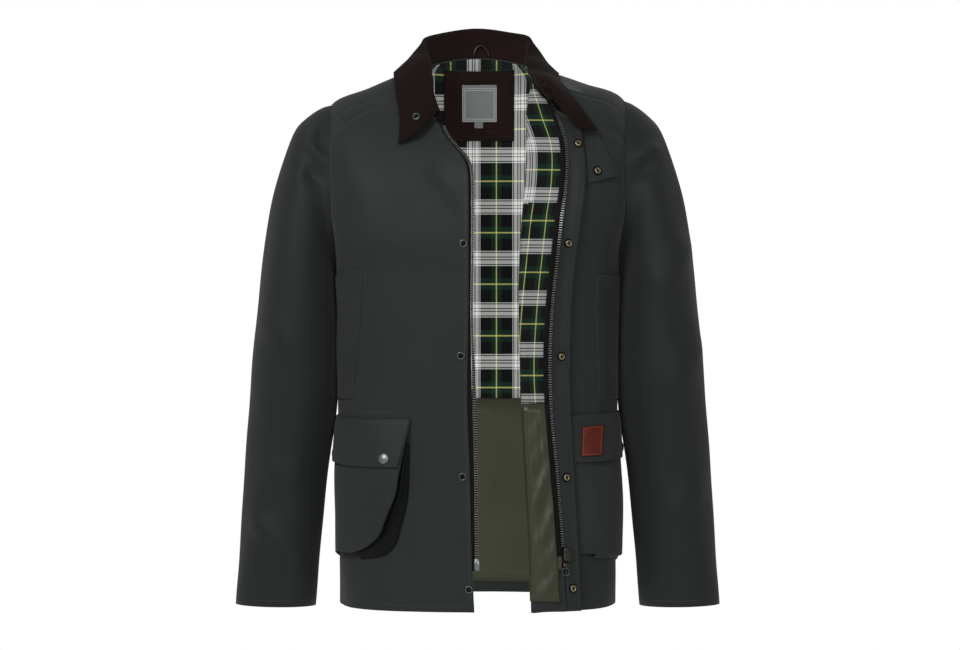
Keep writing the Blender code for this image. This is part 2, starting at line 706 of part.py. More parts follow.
def make_fastenings(waxed, tape, teeth):
    """The storm fly and both halves of the zip, on the fronts' own rows."""
    fly = lapel_points([(1, 1.6 * MM), (1.5, 0), (2, 0)])
    wall("storm_fly", [fly], FLY_THICKNESS, waxed, 0.8 * MM, False)
    left_tape = lapel_points([(1, -TAPE_UNDER + 0.3 * MM), (1, -2.4 * MM)])
    wall("zip_tape_left", [cut_below(left_tape, LEFT_TAPE_END)], TAPE, tape, ZIP_GAP, inset=0)
    left_chain = lapel_points([(1, -2.0 * MM), (1, 1.0 * MM)])
    wall("zip_chain_left", [cut_below(left_chain, LEFT_CHAIN_END)], CHAIN, teeth, ZIP_GAP, inset=0)
    right_tape = cut_below(right_zip_rows([-0.3, 0, 0.62]), RIGHT_ZIP_END + 20)
    wall("zip_tape_right", [right_tape], TAPE, tape, -LAYER_GAP, False, inset=0)
    right_chain = cut_below(right_zip_rows([0.7, 1.25]), RIGHT_ZIP_END)
    wall("zip_chain_right", [right_chain], CHAIN, teeth, 0.4 * MM, False, inset=0)


def pocket_lift(side, x, lift, flat):
    """The left pocket is pressed flat where the turned-back front lies over it."""
    if side < 0:
        return lift
    share = np.clip((x - FLAT_TO[0]) / (FLAT_TO[1] - FLAT_TO[0]), 0, 1)
    return flat + (lift - flat) * share * share * (3 - 2 * share)


def pocket_row(side, inner_x, depths, lifts, outer_turn, flat):
    """Points along a row of a pocket, from its inner edge round to the side seam."""
    shares = np.linspace(0, 1, POCKET_ACROSS + 1)
    levels = level_at(-(depths[0] + (depths[1] - depths[0]) * shares ** 2) * MM)
    inner_turn, _ = front_place(inner_x * MM, -depths[0] * MM)
    turns = inner_turn + (outer_turn - inner_turn) * shares
    lift = lifts[0] + (lifts[1] - lifts[0]) * shares ** 1.4
    x = torso_base(turns, levels)[:, 0] / MM
    points = torso(turns * side, levels, pocket_lift(side, x, lift, flat) * MM)
    return points[::side]


def make_pocket(name, side, waxed):
    bag = []
    for depth, outer_depth, inner_x, lift, left_outer_lift, _, _ in BAG:
        lifts = (lift, BAG_OUTER_LIFT) if side < 0 else (lift, left_outer_lift)
        inner_x = inner_x if side < 0 else min(inner_x, LEFT_BAG_EDGE)
        bag.append(pocket_row(side, inner_x, (depth, outer_depth), lifts, BAG_TURN, FLAT_LIFT))
    wall(f"pocket_front_{name}", [np.array(bag)], SHELL, waxed)
    rise = LEFT_FLAP_RISE if side > 0 else 0
    flap = []
    for depth, outer_depth, inner_x, lift, outer_lift in FLAP:
        depths = depth - rise, outer_depth - rise
        flat = min(lift, FLAT_FLAP_LIFT)
        flap.append(pocket_row(side, inner_x, depths, (lift, outer_lift), FLAP_TURN, flat))
    wall(f"pocket_flap_{name}", [np.array(flap)], SHELL, waxed)
    if side < 0:
        make_right_gusset(waxed)
    else:
        make_left_gusset(waxed)


def make_right_gusset(waxed):
    """The bellows between the bag's edge and the panel, folded inwards along its middle."""
    rows = []
    for depth, _, inner_x, lift, _, base_x, base_depth in BAG:
        if lift < GUSSET_BASE + 2:
            continue
        top = on_front(-inner_x * MM, -depth * MM, (lift - 1.2) * MM)
        base = on_front(-base_x * MM, -base_depth * MM, GUSSET_BASE * MM)
        fold_x, fold_depth = (inner_x + base_x) / 2 + 4, (depth + base_depth) / 2 - 3
        fold = on_front(-fold_x * MM, -fold_depth * MM, (lift + GUSSET_BASE) / 2 * MM)
        rows.append([top, fold, base])
    wall("pocket_gusset_right", [np.array(rows)], 1.2 * MM, waxed, outward=False, inset=0)


def make_left_gusset(waxed):
    """Under the turned-back front only the bag's lower edge stands off, with its bellows below."""
    depth, outer_depth, _, lift, outer_lift, _, _ = BAG[-1]
    rows = []
    for drop, share in LEFT_GUSSET:
        depths = depth + drop, outer_depth + drop
        lifts = [GUSSET_BASE + (end - 1.2 - GUSSET_BASE) * share for end in (lift, outer_lift)]
        row = pocket_row(1, LEFT_BAG_EDGE, depths, lifts, BAG_TURN, FLAT_LIFT)
        rows.append(row[LEFT_GUSSET_START:])
    wall("pocket_gusset_left", [np.array(rows)], 1.2 * MM, waxed, outward=False, inset=0)


def make_welt(name, side, waxed):
    depths = [row[0] for row in WELTS[name]]
    inner = [row[1] for row in WELTS[name]]
    rows = []
    for depth in np.linspace(depths[0], depths[-1], 8):
        inner_x = float(smooth(depths, inner, depth)) * MM
        turn, level = front_place(inner_x, -depth * MM)
        turns = turn + (WELT_TURN - turn) * np.linspace(0, 1, 7)
        levels = level + (level_at(-depth * MM) - level) * np.linspace(0, 1, 7)
        rows.append(torso(turns * side, levels, FLAT_LIFT * MM)[::side])
    wall(f"handwarmer_welt_{name}", [np.array(rows)], 1.6 * MM, waxed)


def make_small_pieces(waxed, corduroy, label, leather, cord_cloth):
    wall("throat_tab", [drape("front_left", THROAT_TAB, 5, 6, 1.2 * MM)], SHELL, waxed, inset=0)
    patch = drape("pocket_flap_left", LEATHER_PATCH, 3, 5, 1.0 * MM)
    wall("leather_patch", [patch], 1.6 * MM, leather, inset=0)
    patch = drape("lining_back_upper", NECK_PATCH, 8, 8, 0.8 * MM)
    wall("neck_patch", [patch], 1.8 * MM, corduroy, inset=0)
    patch = drape("neck_patch", WOVEN_LABEL, 5, 5, 0.5 * MM)
    wall("woven_label", [patch], 1.0 * MM, label, inset=0)
    patch = drape("neck_patch", SIZE_TAB, 2, 2, 0.5 * MM)
    wall("size_tab", [patch], 1.0 * MM, label, inset=0)
    loop = [(x * MM, HANGER_Y, z * MM) for x, z in HANGER]
    cord("hanger_loop", loop, HANGER_RADIUS, cord_cloth)


def snap(name, profile, target, x, z, material, ray=(0, 1, 0), y=-0.4):
    radius = max(radius for radius, _ in profile) * MM
    place, normal = seat(target, x * MM, z * MM, radius, ray, y)
    turned(name, profile, place + normal * SNAP_GAP, normal, material)


def make_snaps(brass, dark):
    for number, (x, depth) in enumerate(SOCKETS, 1):
        snap(f"snap_socket_{number}", SOCKET_PROFILE, "storm_fly", x, -depth, brass)
    for number, (x, depth) in enumerate(STUDS, 1):
        snap(f"snap_stud_{number}", STUD_PROFILE, "front_right", x, -depth, dark)
    snap("snap_socket_tab", SOCKET_PROFILE, "throat_tab", TAB_SOCKET[0], -TAB_SOCKET[1], brass)
    snap("snap_stud_collar", STUD_PROFILE, "collar", COLLAR_STUD[0], -COLLAR_STUD[1], dark)
    for name, side in SIDES:
        flap = f"pocket_flap_{name}"
        if name == "right":
            snap("snap_cap_right", CAP_PROFILE, flap, side * FLAP_CAP[0], -FLAP_CAP[1], dark)
        depth = SIDE_CAP_DEPTH[name]
        snap(f"snap_cap_side_{name}", CAP_PROFILE, flap, side * 400, -depth, dark, (-side, 0, 0), 0)


def make_zip_ends(metal, dark):
    """The slider with the box under it, the pull that hangs from it, and the pin opposite."""
    for name, outline, (x, depth), thickness in (
        ("zip_slider", SLIDER_OUTLINE, SLIDER_PLACE, SLIDER_THICKNESS),
        ("zip_box", BOX_OUTLINE, BOX_PLACE, BOX_THICKNESS),
    ):
        place, normal = seat("storm_fly", x * MM + 2 * MM, -depth * MM)
        place += Vector((-2 * MM, 0, 0)) + normal * SLIDER_GAP
        prism(name, outline, place, normal, thickness, metal)
    x, depth = PIN_PLACE
    place, normal = seat("front_right", x * MM - 10 * MM, -depth * MM)
    place += Vector((10 * MM, 0, 0)) - normal * 2.6 * MM
    prism("zip_pin", PIN_OUTLINE, place, normal, PIN_THICKNESS, metal)
    x, depth = PULL_PLACE
    place, normal = seat("storm_fly", x * MM + 2 * MM, -depth * MM)
    pull = cord("zip_pull", [Vector((u, 0, v)) * MM for u, v in PULL_OUTLINE], PULL_RADIUS, dark, True)
    pull.location = place - Vector((2 * MM, 0, 0)) + normal * (BOX_THICKNESS / 2 + SLIDER_GAP)


def make_sleeve(name, side, material):
    """One tube from the armhole to the cuff, sections fanned round the underarm."""
    steps = 2 * UNDERARM_STEP
    angles = [math.radians(step * ARMHOLE_STEP) for step in range(steps)]
    head = []
    for step in range(steps):
        back = step > UNDERARM_STEP
        turn, level = armhole(steps - step if back else step, back)
        point = torso(turn, level, SHELL)
        leave = torso_normal(turn, level) * 0.3 + np.array([1.0, 0.0, math.cos(angles[step])])
        head.append(point + leave * SLEEVE_GAP)
    rings = [head]
    for row in SLEEVE:
        size = dict(zip(SLEEVE_COLUMNS, row))
        outer = np.array([size["outer_x"], size["mid_y"], size["outer_z"]]) * MM
        inner = np.array([size["inner_x"], size["mid_y"], size["inner_z"]]) * MM
        middle, arm = (outer + inner) / 2, (outer - inner) / 2
        depth = np.array([0, -size["half_depth"] * MM, 0])
        rings.append([middle + arm * math.cos(a) + depth * math.sin(a) for a in angles])
    rings = np.array([list(points) + [points[0]] for points in rings])
    rings[:, :, 0] *= side
    rings = rings[:, ::-side] if side > 0 else rings
    wall(name, [rings], SHELL, material, outward=False)


def collar_sections():
    """Seam, roll, middle of the fall and edge for each station of the collar."""
    sections = []
    for row in COLLAR:
        size = dict(zip(COLLAR_COLUMNS, row))
        turn, lift = size["seam_turn"], size["seam_lift"]
        seam = torso(turn, neck_level(turn), lift * MM)
        seam = seam + np.array([0, 0, COLLAR_RISE * (lift - COLLAR[0][1])]) * MM
        roll = np.array([size["roll_x"], size["roll_y"], size["roll_z"]]) * MM
        place = size["edge_turn"], size["edge_level"], size["edge_lift"] * MM
        edge = torso(*place)
        belly = torso_normal(np.float64(place[0]), place[1]) * size["belly"] * MM
        belly = belly + SAG_DIRECTION * size["sag"] * MM
        sections.append((seam, roll, (roll + edge) / 2 + belly, edge))
    for row in COLLAR_END:
        size = dict(zip(COLLAR_END_COLUMNS, row))
        seam = lapel_points([(size["share"], 0)])[0, 0] + np.array([1.5, -0.6, 2.8]) * MM
        roll = seam + np.array([size["roll_x"], size["roll_y"], size["roll_z"]]) * MM
        place = size["edge_x"] * MM, size["edge_z"] * MM
        edge = on_front(*place, size["edge_lift"] * MM)
        belly = torso_normal(*front_place(*place)) * 7 * MM + SAG_DIRECTION * size["sag"] * MM
        sections.append((seam, roll, (roll + edge) / 2 + belly, edge))
    return sections


def unit(vectors):
    return vectors / np.linalg.norm(vectors, axis=-1, keepdims=True)


def collar_grid():
    """The collar's surface, a row a station: up the stand, over the roll and down the fall."""
    seam, roll, middle, edge = np.swapaxes(np.array(collar_sections()), 0, 1)
    up = unit(roll - seam)
    out = edge - roll
    out = unit(out - up * (out * up).sum(axis=1, keepdims=True))
    near = roll - (up + out) * ROLL_RADIUS
    far = roll - (up - out) * ROLL_RADIUS
    guides = np.stack([seam, near, roll, far, middle, edge])
    stations = np.linspace(0, len(seam) - 1, 2 * len(seam) - 5)
    across = smooth_points(guides, COLLAR_SHARES)
    return smooth_points(np.swapaxes(across, 0, 1), stations)


def smooth_points(points, at):
    """Smooth curves through points along their first axis, read at an array of places."""
    flat = np.reshape(points, (len(points), -1))
    curves = [smooth(range(len(points)), values, at) for values in flat.T]
    return np.stack(curves, axis=1).reshape(len(at), *np.shape(points)[1:])


def make_collar(corduroy):
    wall("collar", [collar_grid()], CORDUROY, corduroy, outward=False, inset=0)


SIDES = (("right", -1), ("left", 1))


def main():
    global collection
    for obj in list(bpy.data.objects):
        bpy.data.objects.remove(obj)
    collection = bpy.data.collections.new("waxed_jacket")
    bpy.context.scene.collection.children.link(collection)
    waxed = finish("waxed_cotton", (0.030, 0.036, 0.034), 0.55)
    corduroy = finish("brown_corduroy", (0.022, 0.011, 0.009), 0.9)
    tartan = finish("tartan_cotton", (0.10, 0.13, 0.11), 0.9)
    nylon = finish("olive_nylon", (0.075, 0.075, 0.048), 0.4)
    tape = finish("zip_tape", (0.012, 0.012, 0.013), 0.9)
    gunmetal = finish("gunmetal", (0.10, 0.095, 0.09), 0.35, 1.0)
    brass = finish("aged_brass", (0.25, 0.19, 0.10), 0.35, 1.0)
    label = finish("grey_label", (0.25, 0.25, 0.26), 0.8)
    leather = finish("red_brown_leather", (0.20, 0.03, 0.018), 0.5)
    make_shell(waxed)
    make_linings(tartan, nylon)
    make_sleeve("sleeve_right", -1, waxed)
    make_sleeve("sleeve_left", 1, waxed)
    make_collar(corduroy)
    make_fastenings(waxed, tape, gunmetal)
    for name, side in SIDES:
        make_pocket(name, side, waxed)
        make_welt(name, side, waxed)
    make_small_pieces(waxed, corduroy, label, leather, tape)
    make_snaps(brass, gunmetal)
    make_zip_ends(gunmetal, gunmetal)


main()
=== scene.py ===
# %% [markdown]
# # A waxed cotton country jacket, worn open
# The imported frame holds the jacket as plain, faceted solids: panels, collar, pockets, zip and
# press studs, each in its place. This lesson gives each of them its fine surface and its finish.
# Nothing is moved. A new piece stands for a plain solid and rides on the same body.

# %% Load the plain solids
import math

import bmesh
import bpy
import numpy as np
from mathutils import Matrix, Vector
from mathutils.bvhtree import BVHTree
from mathutils.kdtree import KDTree


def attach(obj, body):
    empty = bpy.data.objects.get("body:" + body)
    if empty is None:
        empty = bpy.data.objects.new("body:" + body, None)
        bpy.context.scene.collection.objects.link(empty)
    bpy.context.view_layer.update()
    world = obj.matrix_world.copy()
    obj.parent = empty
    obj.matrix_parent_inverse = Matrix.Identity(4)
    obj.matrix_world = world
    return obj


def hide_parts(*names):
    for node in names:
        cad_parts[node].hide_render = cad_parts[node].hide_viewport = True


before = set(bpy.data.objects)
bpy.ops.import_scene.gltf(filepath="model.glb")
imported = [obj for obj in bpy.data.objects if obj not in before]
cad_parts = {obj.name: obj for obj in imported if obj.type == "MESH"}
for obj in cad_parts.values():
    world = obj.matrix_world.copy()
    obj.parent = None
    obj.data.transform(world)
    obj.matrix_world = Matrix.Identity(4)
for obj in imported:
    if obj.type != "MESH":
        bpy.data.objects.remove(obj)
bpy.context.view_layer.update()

MM = 0.001

# %% [markdown]
# ## Camera and light
# A garment is pictured straight on with a long lens, so that its outline stays true. The camera
# stands 3.6 m in front at chest height. The light is a studio with dim surroundings, two large
# soft boxes in front that model the folds of a dark cloth, and a weak lamp inside the jacket for
# its lining. A paper-white screen stands behind, lit on its own, so it shines at the camera and
# throws no light back on the jacket.

# %% Camera
scene = bpy.context.scene
scene.view_settings.view_transform = "Standard"
CHEST = (0, 0, -0.35)
LEVEL = (math.pi / 2, 0, 0)  # turned to look or face along the y axis


def placed(name, data):
    """A new object in the scene."""
    thing = bpy.data.objects.new(name, data)
    scene.collection.objects.link(thing)
    return thing


camera = placed("camera", bpy.data.cameras.new("camera"))
camera.data.lens = 95.07
camera.data.sensor_width = 36
camera.location = (0.0033, -3.6, -0.348)
camera.rotation_euler = LEVEL
scene.camera = camera
print("camera at", tuple(round(part, 3) for part in camera.location))

# %% Lamps


def soft_box(name, place, watts, size):
    """A square lamp that looks at the middle of the jacket."""
    lamp = bpy.data.lights.new(name, "AREA")
    lamp.energy = watts
    lamp.size = size
    holder = placed(name, lamp)
    holder.location = place
    holder.rotation_euler = (Vector(CHEST) - Vector(place)).to_track_quat("-Z", "Y").to_euler()
    return holder


world = bpy.data.worlds.new("white_studio")
world.use_nodes = True
surroundings = world.node_tree.nodes["Background"].inputs
surroundings["Color"].default_value = (1, 1, 1, 1)
surroundings["Strength"].default_value = 0.24
scene.world = world
key = soft_box("key_lamp", (-1.5, -2.6, 1.5), 40, 1.1)
fill = soft_box("fill_lamp", (0.9, -3.4, 0.3), 16, 1.0)
inner = soft_box("inner_lamp", (0.035, -0.05, -0.37), 0.62, 0.22)
inner.data.shape = "RECTANGLE"
inner.data.size_y = 0.75
inner.rotation_euler = LEVEL
inner.visible_camera = inner.visible_glossy = False
print("lamps in watts:", key.data.energy, fill.data.energy, round(inner.data.energy, 2))

# %% Floor and screen
bpy.ops.mesh.primitive_plane_add(size=60, location=(0, 0, -1.5))
floor = bpy.context.object
floor.name = "floor"
bpy.ops.mesh.primitive_plane_add(size=8, location=(0, 5.1, -0.35), rotation=LEVEL)
screen = bpy.context.object
screen.name = "screen"
screen.visible_diffuse = screen.visible_glossy = screen.visible_shadow = False
print("stage:", floor.name, screen.name)

# %% [markdown]
# ## Colours and nodes
# Cloth makers give colours as sRGB codes, while the renderer adds light in linear numbers, so one
# function turns a code into a linear colour. One more function adds a shader node with its
# settings and links. The last two begin a finish and link its outputs to its shader.

# %% A colour and a node


def colour(code):
    """An sRGB code such as #30362f as a linear colour."""
    parts = [int(code[start:start + 2], 16) / 255 for start in (1, 3, 5)]
    return (*(p / 12.92 if p <= 0.04045 else ((p + 0.055) / 1.055) ** 2.4 for p in parts), 1.0)


def add(tree, kind, sockets=None, output=0, **settings):
    """Adds one node and gives one of its outputs. A socket takes a value or another output."""
    node = tree.nodes.new("ShaderNode" + kind)
    for name, value in settings.items():
        setattr(node, name, value)
    for name, value in (sockets or {}).items():
        if isinstance(value, bpy.types.NodeSocket):
            tree.links.new(value, node.inputs[name])
        else:
            node.inputs[name].default_value = value
    return node.outputs[output]


print("#30362f is", [round(part, 4) for part in colour("#30362f")])

# %% A finish, and the stage's own


def finish(name, sockets):
    """A new material with some of its Principled shader's sockets set."""
    material = bpy.data.materials.new(name)
    material.use_nodes = True
    shader = material.node_tree.nodes["Principled BSDF"]
    for socket, value in sockets.items():
        shader.inputs[socket].default_value = value
    return material, material.node_tree, shader


def paint(tree, shader, **outputs):
    """Links outputs to the shader's sockets; colour and roughness go by their short names."""
    sockets = {"colour": "Base Color", "roughness": "Roughness", "normal": "Normal"}
    for name, output in outputs.items():
        tree.links.new(output, shader.inputs[sockets[name]])


floor_paint = finish("matte_studio_floor", {"Base Color": colour("#fefefe"), "Roughness": 0.9})[0]
floor.data.materials.append(floor_paint)
screen_light = finish("lit_white_paper", {
    "Base Color": colour("#000000"), "Specular IOR Level": 0.0,
    "Emission Color": colour("#ffffff"), "Emission Strength": 1.0,
})[0]
screen.data.materials.append(screen_light)
print("finishes so far:", floor_paint.name, screen_light.name)

# %% [markdown]
# ## The form under the cloth
# The body panels lie on one smooth form, like a tailor's dummy that is given as a table of rings.
# The plain solids touch that form only at their corners. To make them round again, the same table
# is read here: any point can be found on the form by its turn round the body and its level, and
# set off from it by the distance that its layer of cloth stands at.

# %% The table of rings
RING_COLUMNS = (
    "level", "half_width", "front_y", "back_y", "mid_y", "z_front", "z_side", "z_back", "square",
)
RINGS = (
    (0, 80, -98, 74, 5, -78, 18, 38, 0.000),
    (1, 113, -118, 96, 5, -108, 4, 10, 0.010),
    (2, 155, -133, 112, 5, -140, -14, -30, 0.020),
    (3, 206, -143, 122, 8, -178, -36, -80, 0.035),
    (4, 215, -148, 128, 8, -212, -85, -135, 0.060),
    (5, 215, -150, 128, 8, -245, -175, -200, 0.060),
    (6, 199, -150, 124, 6, -280, -278, -277, 0.045),
    (7, 197, -143, 112, 4, -430, -430, -430, 0.045),
    (8, 193.8, -141, 118, 2, -590, -590, -590, 0.045),
    (9, 193.2, -142, 126, 2, -740, -740, -740, 0.045),
)


def smooth(knots, values, at):
    """A smooth curve through the rows of a table, read at an array of places."""
    knots, values = np.asarray(knots, float), np.asarray(values, float)
    at = np.clip(np.asarray(at, float), knots[0], knots[-1])
    slopes = np.gradient(values, knots)
    row = np.clip(np.searchsorted(knots, at, side="right") - 1, 0, len(knots) - 2)
    width = knots[row + 1] - knots[row]
    t = (at - knots[row]) / width
    start = (1 + 2 * t) * (1 - t) ** 2 * values[row] + t * (1 - t) ** 2 * width * slopes[row]
    end = t * t * (3 - 2 * t) * values[row + 1] + t * t * (t - 1) * width * slopes[row + 1]
    return start + end


waist = smooth(range(len(RINGS)), [ring[1] for ring in RINGS], 6.5)
print("half the waist in millimetres:", round(float(waist), 1))

# %% The body form


def body_form(turn, level):
    """Points of the form at a turn in degrees, 0 in front and 180 behind, and at a level."""
    rows = np.array(RINGS).T
    ring = {name: smooth(rows[0], row, level) for name, row in zip(RING_COLUMNS, rows)}
    angle = np.radians(turn)
    square = ring["square"]
    across = (np.sin(angle) + square * np.sin(3 * angle)) / (1 - square)
    ahead = (np.cos(angle) - square * np.cos(3 * angle)) / (1 - square)
    reach = np.where(ahead > 0, ring["mid_y"] - ring["front_y"], ring["back_y"] - ring["mid_y"])
    ends = np.where(ahead > 0, ring["z_front"], ring["z_back"])
    x = ring["half_width"] * across
    y = ring["mid_y"] - reach * ahead
    z = ring["z_side"] * np.sin(angle) ** 2 + ends * np.cos(angle) ** 2
    return np.stack([x, y, z], axis=-1) * MM


def unit(vectors):
    """Vectors made one long."""
    return vectors / np.linalg.norm(vectors, axis=-1, keepdims=True)


def body_normal(turn, level):
    """The form's outward direction at turns and levels."""
    level = np.clip(level, 0.02, 8.98)
    down = body_form(turn, level + 0.02) - body_form(turn, level - 0.02)
    across = body_form(turn + 0.5, level) - body_form(turn - 0.5, level)
    return unit(np.cross(down, across))


print("the chest faces", body_normal(np.zeros(1), np.full(1, 4.0))[0].round(2))

# %% Places on the form


def tree_of(points):
    """A tree that finds the nearest of some points."""
    tree = KDTree(len(points))
    for index, point in enumerate(points):
        tree.insert(point, index)
    tree.balance()
    return tree


turns, levels = np.meshgrid(np.arange(-180, 180, 4.0), np.linspace(0.02, 8.98, 91))
FORM_PLACES = np.stack([turns.ravel(), levels.ravel()], axis=1)
FORM_TREE = tree_of(body_form(*FORM_PLACES.T))


def find_on_form(points):
    """The turn and level where the form is nearest to each point."""
    start = FORM_PLACES[[FORM_TREE.find(point)[1] for point in points]]
    turn, level = start[:, 0].copy(), start[:, 1].copy()
    for _ in range(4):
        here = body_form(turn, level)
        miss = points - here
        by_turn = (body_form(turn + 0.1, level) - here) / 0.1
        by_level = (body_form(turn, level - 0.01) - here) / -0.01
        a = (by_turn ** 2).sum(axis=1)
        b = (by_turn * by_level).sum(axis=1)
        c = (by_level ** 2).sum(axis=1)
        d, e = (by_turn * miss).sum(axis=1), (by_level * miss).sum(axis=1)
        area = np.maximum(a * c - b * b, 1e-18)
        turn += np.clip((c * d - b * e) / area, -5, 5)
        level = np.clip(level + np.clip((a * e - b * d) / area, -0.3, 0.3), 0.0, 9.0)
    return turn, level


print("form samples:", len(FORM_PLACES))

# %% [markdown]
# ## Soft folds
# Waxed cotton is stiff, so it shows few and broad folds. They are one field of heights over the
# form, and every layer is moved by the same field, so that a pocket or a lining follows the cloth
# under it. A fold is a smooth ridge along a line; slow waves add the cloth's slight unevenness.

# %% Folds of the front
# Ridges and troughs of the fronts: x and z of both ends, half width and height, in millimetres
FOLD_COLUMNS = ("x1", "z1", "x2", "z2", "half_width", "height")
FRONT_FOLDS = (
    (-190, -285, -150, -320, 12, 2.1),
    (-190, -372, -152, -360, 9, 1.68),
    (160, -372, 190, -358, 7, 1.96),
    (160, -402, 188, -408, 7, 1.96),
    (-60, -130, -10, -190, 16, -4.2),
    (60, -520, 90, -700, 18, 1.4),
    (128, -120, 124, -190, 8, -3.36),
    (124, -180, 112, -300, 8, -3.36),
    (112, -290, 106, -450, 8, -2.8),
    (-120, -545, -154, -610, 5, 1.68),
    (-150, -150, -120, -420, 30, 2.24),
    (-100, -430, -50, -640, 26, -2.24),
    (-142, -42, -199, -76, 5, -1.4),
    (166, -76, 207, -94, 5, -1.4),
)


def ridge(x, z, fold):
    """The height of one fold, in metres, at arrays of x and z in millimetres."""
    size = dict(zip(FOLD_COLUMNS, fold))
    start = np.array([size["x1"], size["z1"]])
    along = np.array([size["x2"], size["z2"]]) - start
    share = ((x - start[0]) * along[0] + (z - start[1]) * along[1]) / (along @ along)
    near = np.clip(share, 0, 1)
    off = np.hypot(x - start[0] - near * along[0], z - start[1] - near * along[1])
    fade = np.exp(-np.clip(np.abs(share - 0.5) - 0.25, 0, None) ** 2 * 12)
    return size["height"] * MM * np.exp(-(off / size["half_width"]) ** 2) * fade


print("folds on the front:", len(FRONT_FOLDS))

# %% Waves, and all folds of the body


def waves(across, up, size, height, seed):
    """Slow uneven waves: a few sines of unlike directions, in metres."""
    draw = np.random.default_rng(seed)
    total = np.zeros(np.shape(across))
    for _ in range(5):
        angle, phase = draw.uniform(0, math.pi), draw.uniform(0, 6.28)
        way = across * math.cos(angle) + up * math.sin(angle)
        total += np.sin(way * 6.28 * draw.uniform(0.7, 1.6) / size + phase)
    return total / 5 * height * MM


BODY_RADIUS = 190  # millimetres of cloth to one radian of turn
BODY_WAVES = {"size": 150, "height": 1.9, "seed": 4}
SIDE_SEAM = 14  # degrees over which folds die out towards the side seams


def body_folds(turn, level):
    """How far the cloth stands off the form because of folds, in metres."""
    point = body_form(turn, level) / MM
    x, z = point[:, 0], point[:, 2]
    ahead = np.cos(np.radians(turn)) > 0
    height = waves(np.radians(turn) * BODY_RADIUS, z, **BODY_WAVES)
    for fold in FRONT_FOLDS:
        height += np.where(ahead, ridge(x, z, fold), 0)
    side = np.abs(np.abs((turn + 180) % 360 - 180) - 90)
    return height * np.clip(side / SIDE_SEAM, 0.15, 1) * np.clip(level - 0.4, 0, 1)


depths = body_folds(np.linspace(-180, 180, 61), np.full(61, 6.0)) / MM
print("folds round the waist, in millimetres:", depths.min().round(1), "to", depths.max().round(1))

# %% [markdown]
# ## From a faceted solid to cloth
# A plain solid becomes a control cage. Its triangles are paired into quads, its rims are creased,
# and Catmull-Clark subdivision rounds what lies between. Subdivision pulls a surface inside its
# cage, so the cage is first pushed out until the smooth surface passes through the solid's own
# corners. Pieces that lie on the body form are then set back on it exactly, layer by layer.

# %% Points and cages
CREASE_ANGLE = math.radians(50)


def positions(mesh):
    """The points of a mesh as an array."""
    points = np.empty(len(mesh.vertices) * 3, np.float32)
    mesh.vertices.foreach_get("co", points)
    return points.reshape(-1, 3).astype(float)


def move(mesh, points):
    """Puts the points of a mesh in new places."""
    mesh.vertices.foreach_set("co", np.asarray(points, np.float32).ravel())
    mesh.update()


def baked(thing):
    """The mesh of an object with its modifiers done."""
    graph = bpy.context.evaluated_depsgraph_get()
    return bpy.data.meshes.new_from_object(thing.evaluated_get(graph))


def cage_of(node):
    """A welded copy of a plain solid in quads, with sharp edges creased."""
    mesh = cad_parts[node].data.copy()
    mesh.materials.clear()
    cage = bmesh.new()
    cage.from_mesh(mesh)
    bmesh.ops.remove_doubles(cage, verts=cage.verts, dist=2e-6)
    bmesh.ops.join_triangles(cage, faces=cage.faces, angle_face_threshold=math.radians(30),
                             angle_shape_threshold=math.radians(70))
    crease = cage.edges.layers.float.new("crease_edge")
    for edge in cage.edges:
        if edge.is_manifold and edge.calc_face_angle() > CREASE_ANGLE:
            edge[crease] = 1.0
    cage.to_mesh(mesh)
    cage.free()
    while mesh.uv_layers:
        mesh.uv_layers.remove(mesh.uv_layers[0])
    return mesh


print("corners of the collar's cage:", len(cage_of("collar").vertices))

# %% Smooth cloth from a cage


def heights_over(points, turn, level):
    """How far points stand off the form."""
    return ((points - body_form(turn, level)) * body_normal(turn, level)).sum(axis=1)


def soften(node, name, levels, on_form=True):
    """An object whose smooth surface passes through the corners of a plain solid."""
    mesh = cage_of(node)
    corners = positions(mesh)
    lift = mesh.attributes.new("lift", "FLOAT", "POINT")
    lift.data.foreach_set("value", heights_over(corners, *find_on_form(corners)).astype(np.float32))
    thing = placed(name, mesh)
    soft = thing.modifiers.new("soft", "SUBSURF")
    soft.levels = soft.render_levels = 1
    for _ in range(3):
        missed = corners - positions(baked(thing))[:len(corners)]
        move(mesh, positions(mesh) + missed * 0.9)
    soft.levels = soft.render_levels = levels
    thing.data = baked(thing)
    thing.modifiers.clear()
    if on_form:
        points = positions(thing.data)
        turn, level = find_on_form(points)
        height = np.empty(len(points), np.float32)
        thing.data.attributes["lift"].data.foreach_get("value", height)
        move(thing.data, body_form(turn, level) + body_normal(turn, level) * height[:, None])
    thing.data.attributes.remove(thing.data.attributes["lift"])
    thing.data.shade_smooth()
    return thing


print("faces from each face: two levels", 4 ** 2, "and three levels", 4 ** 3)

# %% Folds, flat cloth and finish for a piece


def fold_with_body(thing):
    """Lets a piece follow the folds of the body, and gives its points' turns and levels."""
    points = positions(thing.data)
    turn, level = find_on_form(points)
    move(thing.data, points + body_normal(turn, level) * body_folds(turn, level)[:, None])
    return turn, level


def lay_out(thing, across, up):
    """Gives each point its place on the flat cloth, in metres, as the piece's UV map."""
    layer = thing.data.uv_layers.new(name="cloth")
    corners = np.empty(len(thing.data.loops), np.int32)
    thing.data.loops.foreach_get("vertex_index", corners)
    flat = np.stack([across, up], axis=1)[corners].astype(np.float32)
    layer.data.foreach_set("uv", flat.ravel())


def wear(thing, material, slot, *nodes):
    """Gives a piece its finish, its body and the solids that it stands for."""
    thing.data.materials.clear()
    thing.data.materials.append(material)
    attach(thing, "coat")
    if nodes:
        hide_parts(*nodes)
    return thing


fly_turns = find_on_form(positions(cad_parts["storm_fly"].data))[0]
print("the storm fly lies at turns of", fly_turns.min().round(), "to", fly_turns.max().round())

